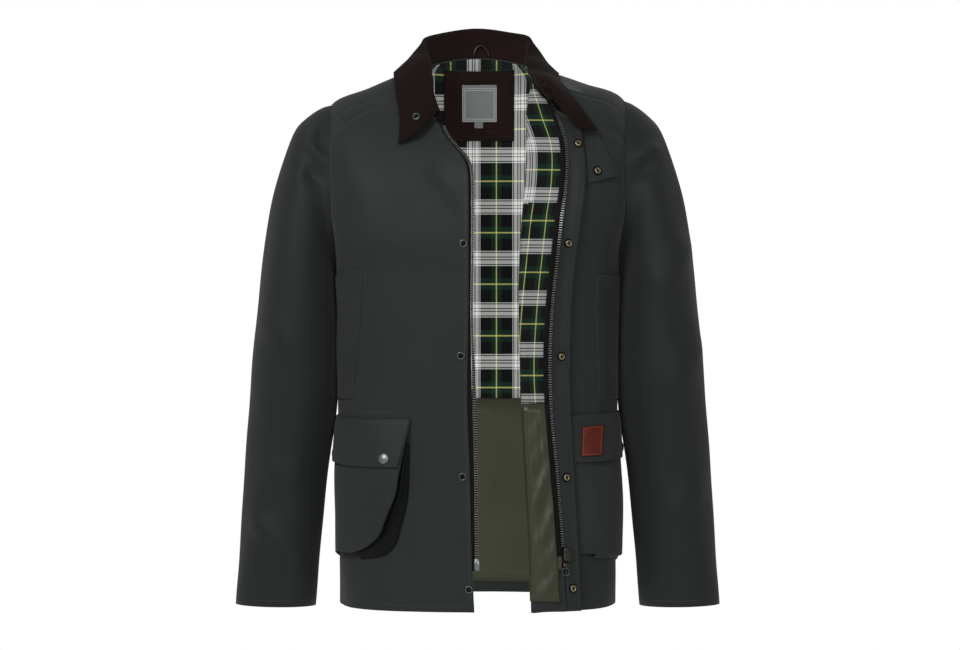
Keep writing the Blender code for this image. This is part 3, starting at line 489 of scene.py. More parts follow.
# %% [markdown]
# ## Waxed cotton
# The shell is a dense plain-weave cotton filled with wax. The wax gives a low, uneven sheen and
# darkens the cloth where it lies thick; threads are about 0.5 mm, too fine to show, so the grain
# is drawn at 1.6 mm. Fibres that stand out catch light at grazing angles, which is the sheen.

# %% Finish: waxed cotton


def cloth_place(tree):
    """A piece's place on its flat cloth, in millimetres."""
    flat = add(tree, "UVMap", uv_map="cloth")
    return add(tree, "VectorMath", {0: flat, "Scale": 1000}, operation="SCALE")


def waxed_cotton(name, low, high, gloss=0.3, fuzz=0.12):
    """Broad patches and fine specks of two tones, with a grain, sizes in millimetres."""
    material, tree, shader = finish(name, {"Specular IOR Level": gloss, "Sheen Weight": fuzz,
                                           "Sheen Roughness": 0.6})
    place = cloth_place(tree)
    patches = add(tree, "TexNoise", {"Vector": place, "Scale": 1 / 90})
    specks = add(tree, "TexNoise", {"Vector": place, "Scale": 1 / 3, "Detail": 6})
    tone = add(tree, "Mix", {0: 0.35, 2: patches, 3: specks})
    mix = add(tree, "Mix", {0: tone, 6: colour(low), 7: colour(high)}, 2, data_type="RGBA")
    sheen = add(tree, "MapRange", {0: tone, 3: 0.5, 4: 0.72})
    threads = add(tree, "TexNoise", {"Vector": place, "Scale": 1 / 1.6, "Detail": 3})
    bump = add(tree, "Bump", {"Height": threads, "Strength": 0.5, "Distance": 0.12 * MM})
    paint(tree, shader, colour=mix, roughness=sheen, normal=bump)
    return material


shell_cloth = waxed_cotton("waxed_cotton", "#1d2421", "#282f2b")
# The sleeves are the shell's own cotton in darker colours: painted shade for the dimmer light on
# the hanging sleeves.
shaded_sleeve_cloth = waxed_cotton("waxed_cotton_sleeves_painted_shade", "#191e1c", "#222825")
# The right pocket's gusset is the shell's cotton painted nearly black, with less gloss and sheen:
# painted shade for the deep recess beside the pocket.
painted_shade_gusset_cloth = waxed_cotton("waxed_cotton_gusset_painted_shade", "#0a0d0b", "#111613", 0.15, 0.03)
print(shell_cloth.name, painted_shade_gusset_cloth.name)

# %% [markdown]
# ## Corduroy
# Corduroy is woven with a second weft that is cut and brushed into ribs, the wales. Here they are
# about 2.4 mm apart and run along the collar. Each wale is round and lit on top, with a nearly
# black valley between, so one wave gives both the colour and the relief.

# %% Finish: corduroy
WALE = 2.4  # from rib to rib, in millimetres


def corduroy_finish(name, low, high):
    """Ribs across the cloth's up direction, dark in their valleys, with a patchy nap."""
    material, tree, shader = finish(name, {"Roughness": 0.9, "Specular IOR Level": 0.1,
                                           "Sheen Weight": 0.05, "Sheen Roughness": 0.5})
    place = cloth_place(tree)
    up = add(tree, "SeparateXYZ", {0: place}, "Y")
    turn = add(tree, "Math", {0: up, 1: 2 * math.pi / WALE}, operation="MULTIPLY")
    wave = add(tree, "Math", {0: turn}, operation="SINE")
    wale = add(tree, "MapRange", {0: wave, 1: -1.0, 2: 1.0})
    nap = add(tree, "TexNoise", {"Vector": place, "Scale": 1 / 25})
    nap = add(tree, "MapRange", {0: nap, 3: 0.3, 4: 1.1})
    tone = add(tree, "Math", {0: wale, 1: nap}, operation="MULTIPLY")
    mix = add(tree, "Mix", {0: tone, 6: colour(low), 7: colour(high)}, 2, data_type="RGBA")
    bump = add(tree, "Bump", {"Height": wale, "Strength": 0.8, "Distance": 0.5 * MM})
    paint(tree, shader, colour=mix, normal=bump)
    return material


corduroy = corduroy_finish("cotton_corduroy", "#110a0a", "#33211e")
print(corduroy.name)

# %% [markdown]
# ## Tartan
# A tartan is woven from one list of coloured threads, the sett, used both ways. Where two bands
# cross, threads of both show, so the colour is the mean of the two. This is a common check of
# green, black and white with a yellow line. One ramp holds the sett, read once across and once up.

# %% The sett
# The sett as bands: the share of the repeat where each begins, and its colour
SETT = (
    (0.000, "#e4e48a"), (0.014, "#14382a"), (0.113, "#0d0e0f"), (0.352, "#f0f0ee"),
    (0.373, "#0d0e0f"), (0.391, "#f0f0ee"), (0.462, "#0d0e0f"), (0.484, "#f0f0ee"),
    (0.516, "#0d0e0f"), (0.538, "#f0f0ee"), (0.609, "#0d0e0f"), (0.627, "#f0f0ee"),
    (0.648, "#0d0e0f"), (0.887, "#14382a"), (0.986, "#e4e48a"),
)
WHOLE_REPEATS = 40  # added so that the count of repeats is never negative


def sett_colour(tree, distance, repeat, start):
    """The sett's colour at a distance in millimetres along the cloth."""
    turns = {0: distance, 1: 1 / repeat, 2: WHOLE_REPEATS - start / repeat}
    share = add(tree, "Math", turns, operation="MULTIPLY_ADD")
    share = add(tree, "Math", {0: share}, operation="FRACT")
    ramp = add(tree, "ValToRGB", {"Fac": share})
    ramp.node.color_ramp.interpolation = "CONSTANT"
    stops = ramp.node.color_ramp.elements
    stops.remove(stops[1])
    stops[0].position, stops[0].color = SETT[0][0], colour(SETT[0][1])
    for begin, code in SETT[1:]:
        stops.new(begin).color = colour(code)
    return ramp


print("bands in the sett:", len(SETT))

# %% Finish: tartan cotton


def tartan(name, across_repeat, across_start, up_repeat, up_start):
    """The sett both ways. Repeats and where they start are in millimetres on the flat cloth."""
    material, tree, shader = finish(name, {"Roughness": 0.85, "Specular IOR Level": 0.2,
                                           "Sheen Weight": 0.1})
    place = cloth_place(tree)
    parts = add(tree, "SeparateXYZ", {0: place}).node.outputs
    warp = sett_colour(tree, parts["X"], across_repeat, across_start)
    weft = sett_colour(tree, parts["Y"], up_repeat, up_start)
    threads = add(tree, "TexNoise", {"Vector": place, "Scale": 1 / 1.1})
    twill = add(tree, "MapRange", {0: threads, 3: 0.3, 4: 0.7})
    mix = add(tree, "Mix", {0: twill, 6: warp, 7: weft}, 2, data_type="RGBA")
    bump = add(tree, "Bump", {"Height": threads, "Strength": 0.3, "Distance": 0.1 * MM})
    paint(tree, shader, colour=mix, normal=bump)
    return material


back_tartan = tartan("brushed_tartan_cotton_back", 66.5, -27.5, 75.7, -61.1)
front_tartan = tartan("brushed_tartan_cotton_front", 57.0, -21.0, 70.1, -66.3)
print(back_tartan.name, front_tartan.name)

# %% [markdown]
# ## Nylon lining, tape, leather and metals
# The lower lining is a smooth nylon twill: its long floats make it glossier than cotton. Zip tape
# is black polyester with a fine rib. The patch is vegetable-tanned leather with a pebbled grain.
# Press studs and zip are brass, darkened by plating or by age, so roughness and colour vary.

# %% Finishes: nylon, tape, leather, labels and thread


def plain_cloth(name, low, high, patch, roughness, gloss, bump_size, bump_height):
    """A cloth or leather with patches of two tones and a fine relief, sizes in millimetres."""
    material, tree, shader = finish(name, {"Roughness": roughness, "Specular IOR Level": gloss})
    place = cloth_place(tree)
    cloud = add(tree, "TexNoise", {"Vector": place, "Scale": 1 / patch, "Detail": 4})
    mix = add(tree, "Mix", {0: cloud, 6: colour(low), 7: colour(high)}, 2, data_type="RGBA")
    fine = add(tree, "TexNoise", {"Vector": place, "Scale": 1 / bump_size})
    bump = add(tree, "Bump", {"Height": fine, "Strength": 0.4, "Distance": bump_height * MM})
    paint(tree, shader, colour=mix, normal=bump)
    return material


nylon = plain_cloth("olive_nylon_twill", "#3a3b2a", "#4b4c39", 60, 0.36, 0.42, 2.0, 0.15)
tape_cloth = plain_cloth("black_polyester_tape", "#0b0b0c", "#17171a", 3, 0.8, 0.2, 1.2, 0.2)
label_cloth = plain_cloth("woven_label_satin", "#686a6a", "#7c7e7e", 2, 0.7, 0.3, 0.8, 0.1)
leather = plain_cloth("red_brown_leather", "#4e180f", "#7a3120", 9, 0.6, 0.3, 1.5, 0.25)
black_cord = plain_cloth("black_waxed_cord", "#08080a", "#16161a", 2, 0.3, 0.7, 1.0, 0.1)
shell_thread = plain_cloth("shell_polyester_thread", "#3a433d", "#4e5850", 3, 0.6, 0.4, 0.5, 0.05)
rust_thread = plain_cloth("rust_polyester_thread", "#87402b", "#a5573d", 3, 0.6, 0.4, 0.5, 0.05)
pale_thread = plain_cloth("pale_grey_thread", "#a3a5a5", "#b9bbbb", 3, 0.6, 0.4, 0.5, 0.05)
grey_ribbon = plain_cloth("grey_polyester_ribbon", "#3d3c39", "#56544f", 2, 0.6, 0.4, 0.8, 0.1)
print("cloths and threads:", nylon.name, tape_cloth.name, leather.name, shell_thread.name)

# %% Finishes: metals


def metal(name, low, high, roughness, size=2.0):
    """A metal with clouds of two tones, their size in millimetres."""
    material, tree, shader = finish(name, {"Metallic": 1.0})
    spot = add(tree, "TexCoord", {}, "Object")
    cloud = add(tree, "TexNoise", {"Vector": spot, "Scale": 1000 / size, "Detail": 3})
    mix = add(tree, "Mix", {0: cloud, 6: colour(low), 7: colour(high)}, 2, data_type="RGBA")
    wear_off = add(tree, "MapRange", {0: cloud, 3: roughness - 0.08, 4: roughness + 0.12})
    paint(tree, shader, colour=mix, roughness=wear_off)
    return material


aged_brass = metal("aged_brass", "#9a8660", "#dccba2", 0.4)
antique_nickel = metal("antique_nickel_teeth", "#6a6966", "#dedcd6", 0.3)
dark_bronze = metal("dark_bronze_plating", "#37332f", "#6a625a", 0.38)
gunmetal = metal("gunmetal_plating", "#43464a", "#7d8286", 0.34)
satin_nickel = metal("satin_nickel_plating", "#737a7d", "#a9b0b2", 0.36)
# Near-black metal: the washers' own blackened plating, and painted shade where it fills the
# socket's well and the stud's post, standing in for their dark hollows.
black_plating_and_painted_shade = metal("black_plating_with_painted_shade", "#18181a", "#323235", 0.36)
print("metals:", aged_brass.name, antique_nickel.name, dark_bronze.name, gunmetal.name)

# %% [markdown]
# ## The shell
# Each panel of the shell is softened from its solid, moved with the body's folds and laid out flat
# for its finish. The cloth is closed at the seams, where plain solids keep a gap, the welts are
# sunk into it, and the free end of the throat tab stands off it.

# %% Measures of the shell
HALF_GAP = 0.3 * MM  # plain solids keep twice this between them at a seam
WELT_SINK = 1.1 * MM
WELT_EDGE, WELT_FADE = 70, 12  # the turn of a welt's sleeve edge, and a run to it, in degrees
TAB_LIFT = 2.5 * MM
TAB_FOOT, TAB_LENGTH = 146, 32  # in millimetres along x
# How much higher the left shoulder stands: x and rise, in millimetres
SHOULDER_RISE = ((90, 140, 200, 225, 270), (0, 4.5, 7, 4, 0))


def arc_across(turn, level):
    """Distance round the body from the middle of the back, in metres.

    It is read from one list of lengths, those of the waist counted from the middle of the front,
    so a turn behind is laid out as wide as the same turn in front.
    """
    fine = np.arange(-180, 181, 2.0)
    loop = body_form(fine, np.full(len(fine), 7.0))
    steps = np.linalg.norm(np.diff(loop[:, :2], axis=0), axis=1)
    length = np.concatenate([[0], np.cumsum(steps)])
    from_back = (turn + 360) % 360 - 180
    width = smooth(*np.array(RINGS).T[:2], np.clip(level, 2.5, 9)) / RINGS[7][1]
    return (np.interp(from_back, fine, length) - length[-1] / 2) * width


def close_seams(thing):
    """Panels meet at their seams: each grows by half of the gap between plain solids."""
    normals = np.empty(len(thing.data.vertices) * 3, np.float32)
    thing.data.vertex_normals.foreach_get("vector", normals)
    move(thing.data, positions(thing.data) + normals.reshape(-1, 3) * HALF_GAP)


def shoulder_lift(points):
    """The left shoulder stands a little higher than its solid, most of all at the sleeve seam."""
    lift = smooth(*SHOULDER_RISE, points[:, 0] / MM)
    return lift * MM * np.clip((points[:, 2] / MM + 120) / 60, 0, 1)


girth = np.ptp(arc_across(np.array([-179.0, -1.0, 1.0, 179.0]), np.full(4, 7.0)))
print("girth of the jacket on the flat cloth:", round(float(girth), 2), "m")

# %% Shell panels


def body_piece(node, levels, on_form):
    """A panel that lies on the body."""
    thing = soften(node, "waxed_" + node, levels, on_form)
    if node in ("back", "front_left", "front_right"):
        close_seams(thing)
    turn, level = fold_with_body(thing)
    points = positions(thing.data)
    off = np.zeros(len(points))
    if node in ("back", "front_left"):
        points[:, 2] += shoulder_lift(points)
    if "welt" in node:
        off = np.clip((WELT_EDGE - np.abs(turn)) / WELT_FADE, 0, 1) * -WELT_SINK
    if node == "throat_tab":
        off = np.clip((points[:, 0] / MM - TAB_FOOT) / TAB_LENGTH, 0, 1) * TAB_LIFT
    points += body_normal(turn, level) * off[:, None]
    move(thing.data, points)
    lay_out(thing, arc_across(turn, level), points[:, 2])
    # The right gusset is painted nearly black: painted shade in the pocket's recess.
    material = painted_shade_gusset_cloth if node == "pocket_gusset_right" else shell_cloth
    return wear(thing, material, "waxed_cotton", node)


# The shell's solids: how often each is subdivided, and whether all of it is set on the form
SHELL_COLUMNS = ("node", "levels", "on_form")
SHELL = (
    ("back", 3, True), ("front_left", 3, True), ("front_right", 3, True), ("storm_fly", 2, True),
    ("throat_tab", 3, False), ("handwarmer_welt_left", 2, True), ("handwarmer_welt_right", 2, True),
    ("pocket_front_left", 3, False), ("pocket_front_right", 3, False),
    ("pocket_gusset_left", 2, False), ("pocket_gusset_right", 2, False),
    ("pocket_flap_left", 3, False), ("pocket_flap_right", 3, False),
)
cloths = {}  # pieces that later steps sew on or keep clear of, by the names of their solids
for row in SHELL:
    panel = dict(zip(SHELL_COLUMNS, row))
    cloths[panel["node"]] = body_piece(**panel)
    print(panel["node"], len(cloths[panel["node"]].data.polygons))

# %% [markdown]
# ## Sleeves
# The sleeve head is set into the armhole, so its rim is tucked a little under the edge of the body.
# Hanging sleeves crease in two places: short folds point up to the shoulder where the head eases
# round it, and slow diagonals cross the forearm.

# %% Folds and measures of the sleeves
# Ridges and troughs as on the body, in millimetres
SLEEVE_FOLDS = {
    "right": ((-201, -126, -233, -98, 9, 10.24), (-233, -98, -226, -70, 8, 6.4),
              (-205, -150, -240, -135, 11, -6.4), (-316, -618, -240, -676, 16, 7.68),
              (-300, -545, -245, -560, 14, 5.76), (-300, -330, -250, -390, 20, 5.12)),
    "left": ((212, -118, 253, -98, 9, 9.6), (212, -140, 250, -128, 10, -6.4),
             (296, -225, 250, -302, 20, 8.96), (320, -360, 262, -440, 22, 7.04),
             (330, -560, 262, -610, 18, 6.4)),
}
# How far a sleeve lies nearer to the body than its solid: depth below the neck, and share
NEARER = ((0, 250, 300, 400, 475, 530, 800), (0, 0, 0.7, 1, 1, 0, 0))
NEARER_BY = 3.4 * MM
# The rim within this distance of the body is tucked under: down, and towards the middle
TUCK_REACH, TUCK_DOWN, TUCK_IN = 9 * MM, 1.3 * MM, 4.5 * MM
# The arm's middle line: depth below the neck and x, in millimetres, and its y
ARM_MIDDLE, ARM_MIDDLE_Y = ((0, 740), (225, 285)), -5 * MM
ARM_RADIUS = 75 * MM
ARM_WAVES = {"size": 130, "height": 1.6, "seed": 11}
# Folds fade in this far from the body, and over a run to the cuff's hem
FOLDS_FROM_BODY, CUFF_HEM, CUFF_RUN = 25 * MM, 735 * MM, 40 * MM
# The inner side of a sleeve, which lies nearer: x where it ends, and a run to it, in millimetres
INNER_SIDE, INNER_RUN = 235, 25
print("folds of the sleeves:", {side: len(folds) for side, folds in SLEEVE_FOLDS.items()})

# %% Sleeves
for side, way in (("left", 1), ("right", -1)):
    sleeve = soften("sleeve_" + side, "waxed_sleeve_" + side, 3, False)
    close_seams(sleeve)
    points = positions(sleeve.data)
    turn, level = find_on_form(points)
    off = np.linalg.norm(points - body_form(turn, level), axis=1)
    tuck = np.clip(1 - off / TUCK_REACH, 0, 1) * (level < 6.4)
    points -= body_normal(turn, level) * (tuck * TUCK_DOWN)[:, None]
    points[:, 0] -= way * tuck * TUCK_IN
    # From the middle line of the arm, out is the way that folds stand, and ahead is its front
    arm = np.stack([way * smooth(*ARM_MIDDLE, -points[:, 2] / MM) * MM,
                    np.full(len(points), ARM_MIDDLE_Y)], axis=1)
    out = unit(points[:, :2] - arm)
    height = waves(points[:, 1] / MM * 1.5, points[:, 2] / MM, **ARM_WAVES)
    ahead = np.clip(-out[:, 1] * 2.2 - 0.8, 0, 1)
    for fold in SLEEVE_FOLDS[side]:
        height += ahead * ridge(points[:, 0] / MM, points[:, 2] / MM, fold)
    height *= np.clip(off / FOLDS_FROM_BODY, 0, 1)
    height *= np.clip((points[:, 2] + CUFF_HEM) / CUFF_RUN, 0, 1)
    points[:, :2] += out * height[:, None]
    beside = np.clip((INNER_SIDE - np.abs(points[:, 0]) / MM) / INNER_RUN, 0, 1)
    points[:, 0] -= way * NEARER_BY * beside * smooth(*NEARER, -points[:, 2] / MM)
    points[:, 2] += shoulder_lift(points)
    move(sleeve.data, points)
    lay_out(sleeve, np.arctan2(out[:, 1], out[:, 0] * way) * ARM_RADIUS, points[:, 2])
    # The sleeves take the darker copy of the shell's cotton, which is painted shade.
    cloths["sleeve_" + side] = wear(sleeve, shaded_sleeve_cloth, "waxed_cotton", "sleeve_" + side)
    print(sleeve.name, len(sleeve.data.polygons))

# %% [markdown]
# ## Linings
# The upper lining is brushed tartan cotton, the lower one nylon. On the turned-back left front the
# check runs with the zip, because the cloth was cut along that edge; on the back it is upright.

# %% Pleat and puckers
# The left zip's line: depth below the neck and x, in millimetres
ZIP_LINE = ((20, 60, 100, 150, 200, 250, 320, 420, 500, 600, 700, 740),
            (98, 109, 121, 121.5, 114.5, 109, 102, 97.7, 104, 112, 119, 120.5))

# A pleat beside the zip swallows a strip of the check, between two heights
PLEAT_AT, PLEAT_HIDES, PLEAT_FROM, PLEAT_TO = 39.2 * MM, 36.5 * MM, -0.40, -0.18
# The back is laid out flat to this x, which is this far round it
FLAT_X, FLAT_ARC = 0.13, 0.135
# Between these heights the nylon is puckered, in ridges of two families this far apart
PUCKER_TOP, PUCKER_HEM, PUCKER_RUN = -0.468, -0.733, 0.02
RIDGES, CROSS_RIDGES = 34 * MM, 47 * MM
# How near to a sleeve a lining stands back, and how far, so that it stays hidden
ARMHOLE_REACH, ARMHOLE_BACK = 20 * MM, 9 * MM


def puckers(across, up):
    """The nylon is drawn up by the zip's seam: sharp diagonal puckers that fade away from it."""
    near = np.exp(np.clip(across, -0.2, 0) / 0.03)
    bend = 7 * MM * np.sin(up / 0.027) + 3 * MM * np.sin(across / 0.006)
    first = 1 - np.abs(np.sin((up * 0.75 - across * 0.95 + bend) / RIDGES * math.pi))
    second = 1 - np.abs(np.sin((up + across * 0.6 - bend * 0.6) / CROSS_RIDGES * math.pi + 1.0))
    edges = np.clip((PUCKER_TOP - up) / PUCKER_RUN, 0, 1)
    edges = edges * np.clip((up - PUCKER_HEM) / PUCKER_RUN, 0, 1) * np.clip(-across / 0.005, 0, 1)
    return (0.4 + 0.6 * near) * (first ** 1.4 * 4.2 + second ** 1.4 * 2.8) * edges * MM


heights = puckers(*np.meshgrid(np.linspace(-0.1, 0, 90), np.linspace(-0.73, -0.47, 90))) / MM
print("puckers reach", heights.max().round(1), "millimetres")

# %% Lining pieces
sleeve_tree = tree_of(np.concatenate([positions(cloths[node].data)
                                      for node in ("sleeve_left", "sleeve_right")]))


def behind_armhole(points):
    """How far a lining stands back beside the sleeve seam."""
    away = np.array([sleeve_tree.find(point)[2] for point in points])
    return np.clip(1 - away / ARMHOLE_REACH, 0, 1) * ARMHOLE_BACK


for node, material in (
    ("lining_back_upper", back_tartan), ("lining_right_upper", back_tartan),
    ("lining_back_lower", nylon), ("lining_right_lower", nylon),
    ("lining_left_upper", front_tartan), ("lining_left_lower", nylon),
):
    thing = soften(node, "cloth_" + node, 3 if "left" in node else 2)
    turn, level = fold_with_body(thing)
    points = positions(thing.data)
    points -= body_normal(turn, level) * behind_armhole(points)[:, None]
    move(thing.data, points)
    # The back shows the check upright and flat; past it, the cloth follows the body round
    arc = -arc_across(turn, level)
    across = -np.clip(points[:, 0], -FLAT_X, FLAT_X) - (arc - np.clip(arc, -FLAT_ARC, FLAT_ARC))
    if "left" in node:
        across = points[:, 0] - smooth(*ZIP_LINE, -points[:, 2] / MM) * MM
        pleat = (points[:, 2] < PLEAT_TO) & (points[:, 2] > PLEAT_FROM) & (across < -PLEAT_AT)
        across = across - np.where(pleat, PLEAT_HIDES, 0)
    if node == "lining_left_lower":
        height = puckers(across, points[:, 2])
        move(thing.data, points + body_normal(turn, level) * height[:, None])
    lay_out(thing, across, points[:, 2])
    if node == "lining_left_upper":
        # Faces that the pleat cuts keep one side of it, so that no check is smeared
        flat = thing.data.uv_layers["cloth"].data
        for face in thing.data.polygons:
            right = max(flat[corner].uv[0] for corner in face.loop_indices)
            for corner in face.loop_indices:
                if right - flat[corner].uv[0] > 0.02:
                    flat[corner].uv[0] += PLEAT_HIDES
    wear(thing, material, "olive_nylon" if material == nylon else "tartan_cotton", node)
    print(node, len(thing.data.polygons))

# %% [markdown]
# ## Collar, neck patch and labels
# The wales of the collar run along it, so they keep a constant distance from its roll, the line
# where it turns over. The distance of each point from that line is its place on the flat cloth.
# The neck patch, the labels and other small pieces are nearly flat, so x and z are that place.

# %% Collar
# Points of the roll from the right front round the neck to the left one, in millimetres
ROLL_LINE = np.array((
    (-52.5, -102, -50), (-61, -76, -23), (-64, -36, 14), (-68, -14, 32), (-71, 5, 43),
    (-79, 36, 62), (-48, 66, 75), (0, 76, 82), (48, 66, 75), (76, 36, 64), (69, 5, 38),
    (68, -16, 25), (70, -38, 11), (75, -63, 4), (100, -90, -30),
)) * MM
ROLL_STEP = 30 * MM  # about the distance between its points
collar = soften("collar", "corduroy_collar", 3, False)
points = positions(collar.data)
best = np.full(len(points), 9.0)
along = np.zeros(len(points))
for number, (start, end) in enumerate(zip(ROLL_LINE, ROLL_LINE[1:])):
    share = np.clip((points - start) @ (end - start) / ((end - start) @ (end - start)), 0, 1)
    off = np.linalg.norm(points - start - share[:, None] * (end - start), axis=1)
    along = np.where(off < best, (number + share) * ROLL_STEP, along)
    best = np.minimum(off, best)
lay_out(collar, along, best)
wear(collar, corduroy, "corduroy", "collar")
print("collar faces:", len(collar.data.polygons))

# %% Neck patch and labels


def small_piece(node, name, material, slot, on_form=False, free=False, rise=0):
    """A small piece that follows the body's folds unless it is free, moved up by a rise in mm."""
    thing = soften(node, name, 2, on_form)
    if not free:
        fold_with_body(thing)
    points = positions(thing.data) + (0, 0, rise * MM)
    move(thing.data, points)
    lay_out(thing, points[:, 0], points[:, 2])
    cloths[node] = wear(thing, material, slot, node)
    return cloths[node]


neck_patch = small_piece("neck_patch", "corduroy_neck_patch", corduroy, "corduroy")
label = small_piece("woven_label", "plain_woven_label", label_cloth, "label_cloth")
size_tab = small_piece("size_tab", "plain_size_tab", label_cloth, "label_cloth", rise=2.6)
patch = small_piece("leather_patch", "plain_leather_patch", leather, "leather")
for thing in (neck_patch, label, size_tab, patch):
    print(thing.name, len(thing.data.polygons))

# %% [markdown]
# ## Small shapes in numbers
# Zip teeth and stitches are many copies of one small shape. A copy needs a place and three axes:
# across the row, along it and out of the cloth. A row of stitches is a line walked in even steps,
# and each step is dropped on to the cloth by a ray, so the thread lies on every fold.

# %% Copies of one small shape
# A block with its two upper edges cut off: a tooth, and on a smaller scale a stitch
PROFILE = ((-0.5, -0.5), (-0.5, 0.2), (-0.28, 0.5), (0.28, 0.5), (0.5, 0.2), (0.5, -0.5))
TOOTH = np.array([(x, y, z) for x in (-1.0, 1.0) for y, z in PROFILE])
TOOTH_FACES = [(0, 1, 2, 3, 4, 5), (11, 10, 9, 8, 7, 6)]
TOOTH_FACES += [(side, side + 6, (side + 1) % 6 + 6, (side + 1) % 6) for side in range(6)]


def copies(name, size, places, along, out, material, slot):
    """One piece of many small shapes, each of a size in mm across, along and out."""
    along, out = unit(np.asarray(along, float)), np.asarray(out, float)
    out = unit(out - along * (out * along).sum(axis=1, keepdims=True))
    across = np.cross(along, out)
    shape = TOOTH * np.array([size[0] / 2, size[1], size[2]]) * MM
    axes = np.stack([across, along, out], axis=1)
    points = np.einsum("cj,njk->nck", shape, axes) + np.asarray(places)[:, None, :]
    faces = [[corner + len(TOOTH) * number for corner in face]
             for number in range(len(places)) for face in TOOTH_FACES]
    mesh = bpy.data.meshes.new(name)
    mesh.from_pydata(points.reshape(-1, 3).tolist(), [], faces)
    thing = placed(name, mesh)
    lay_out(thing, points[:, :, 0].ravel(), points[:, :, 2].ravel())
    return wear(thing, material, slot)


print("faces in a tooth:", len(TOOTH_FACES))

# %% Rows, drops and sewing
BEFORE = -400  # a y in millimetres, well in front of the jacket


def walk(points, pitch):
    """Evenly spaced places along a line of points, and the line's direction at each."""
    points = np.asarray(points, float)
    steps = np.concatenate([[0], np.cumsum(np.linalg.norm(np.diff(points, axis=0), axis=1))])
    at = np.arange(pitch / 2, steps[-1], pitch)
    behind, places, ahead = (
        np.stack([np.interp(at + shift * pitch, steps, part) for part in points.T], axis=1)
        for shift in (-0.3, 0, 0.3)
    )
    return places, ahead - behind


def skin(*things):
    """What rays can hit of some pieces."""
    joined = bmesh.new()
    for thing in things:
        joined.from_mesh(thing.data)
    tree = BVHTree.FromBMesh(joined)
    joined.free()
    return tree


def drop(tree, starts):
    """Where rays to the back first hit, and the normal to the front there; misses are left out."""
    found = []
    for start in starts:
        point, normal, _, _ = tree.ray_cast(Vector(start), Vector((0, 1, 0)))
        if point is not None:
            found.append((point[:], (normal if normal.y < 0 else -normal)[:]))
    return np.array(found).reshape(-1, 2, 3).swapaxes(0, 1)


def sew(name, tree, lines, material, slot, size=(0.6, 2.3, 0.35), pitch=3.4):
    """Stitches along lines of x and z in millimetres, dropped on the cloth from the front."""
    places, along, outs = [], [], []
    for line in lines:
        starts = walk(np.array([(x, BEFORE, z) for x, z in line]) * MM, pitch * MM)[0]
        points, normals = drop(tree, starts)
        if len(points) > 2:
            places.append(points)
            along.append(np.gradient(points, axis=0))
            outs.append(normals)
    return copies(name, size, np.concatenate(places), np.concatenate(along), np.concatenate(outs),
                  material, slot)


steps = walk([(0, 0, 0), (0.1, 0, 0)], 3.4 * MM)[0]
print("stitches in 100 millimetres:", len(steps))

# %% [markdown]
# ## Zip
# The zip is a chunky moulded one with metal-finished teeth 3.3 mm apart on black tape. The teeth
# follow the middle line of each plain chain, and stand on a corded bead in the tape's edge.

# %% Zip
TOOTH_PITCH = 3.3 * MM
TOOTH_SIZE = (4.4, 1.5, 2.6)
BEAD_SHARE = 0.8  # of the chain's width: the bead stays between the teeth


def line_at(points, heights):
    """A smooth line through points sorted by height, read at other heights."""
    at = points[:, 2]
    return np.stack([smooth(at, points[:, 0], heights), smooth(at, points[:, 1], heights), heights],
                    axis=1)


for side in ("left", "right"):
    small_piece("zip_tape_" + side, "black_zip_tape_" + side, tape_cloth, "zip_tape",
                on_form=True)
    # The plain chain has four corners at each height: their mean is its middle line
    chain = positions(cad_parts["zip_chain_" + side].data)
    corners = np.unique(np.round(chain, 6), axis=0)
    middle = corners[np.argsort(corners[:, 2])].reshape(-1, 4, 3).mean(axis=1)
    middle = line_at(middle, np.arange(middle[0, 2], middle[-1, 2], 4 * MM))
    bead = soften("zip_chain_" + side, "zip_bead_" + side, 2)
    points = positions(bead.data)
    core = line_at(middle, points[:, 2])
    move(bead.data, core + (points - core) * BEAD_SHARE)
    fold_with_body(bead)
    lay_out(bead, points[:, 0], points[:, 2])
    wear(bead, tape_cloth, "zip_tape", "zip_chain_" + side)
    places, ahead = walk(middle, TOOTH_PITCH)
    turn, level = find_on_form(places)
    normals = body_normal(turn, level)
    places = places + normals * (body_folds(turn, level) + 0.1 * MM)[:, None]
    teeth = copies("zip_teeth_" + side, TOOTH_SIZE, places, ahead, normals, antique_nickel,
                   "gunmetal")
    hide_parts("zip_chain_" + side)
    print(teeth.name, len(places), "teeth")


# %% [markdown]
# ## Slider, box and pin
# These are castings, so they keep their solid's outline with rounded edges. The box holds the end
# of one tape, a stiff ribbon, and the pin slides into it. The pull tab hangs from the slider, turns
# on its hinge and stays as it is: only its finish is new.

# %% Slider, box and pin
EDGE_RADIUS = 0.45 * MM
PIN_SHAPE = (2.3, 1.0, 0.85)  # the seen pin against its solid: wide and a little shorter
RIBBON_PLACE, RIBBON_SIZE, RIBBON_LEAN = (111.6, -672.6), (6.6, 17.6, 0.7), (0.02, 0, 1)


def cast_part(node, name, material):
    """A plain solid with rounded edges."""
    thing = placed(name, cage_of(node))
    edge = thing.modifiers.new("edge", "BEVEL")
    edge.width = EDGE_RADIUS
    edge.segments = 3
    edge.limit_method = "ANGLE"
    thing.data = baked(thing)
    thing.modifiers.clear()
    thing.data.shade_smooth()
    return wear(thing, material, "gunmetal", node)


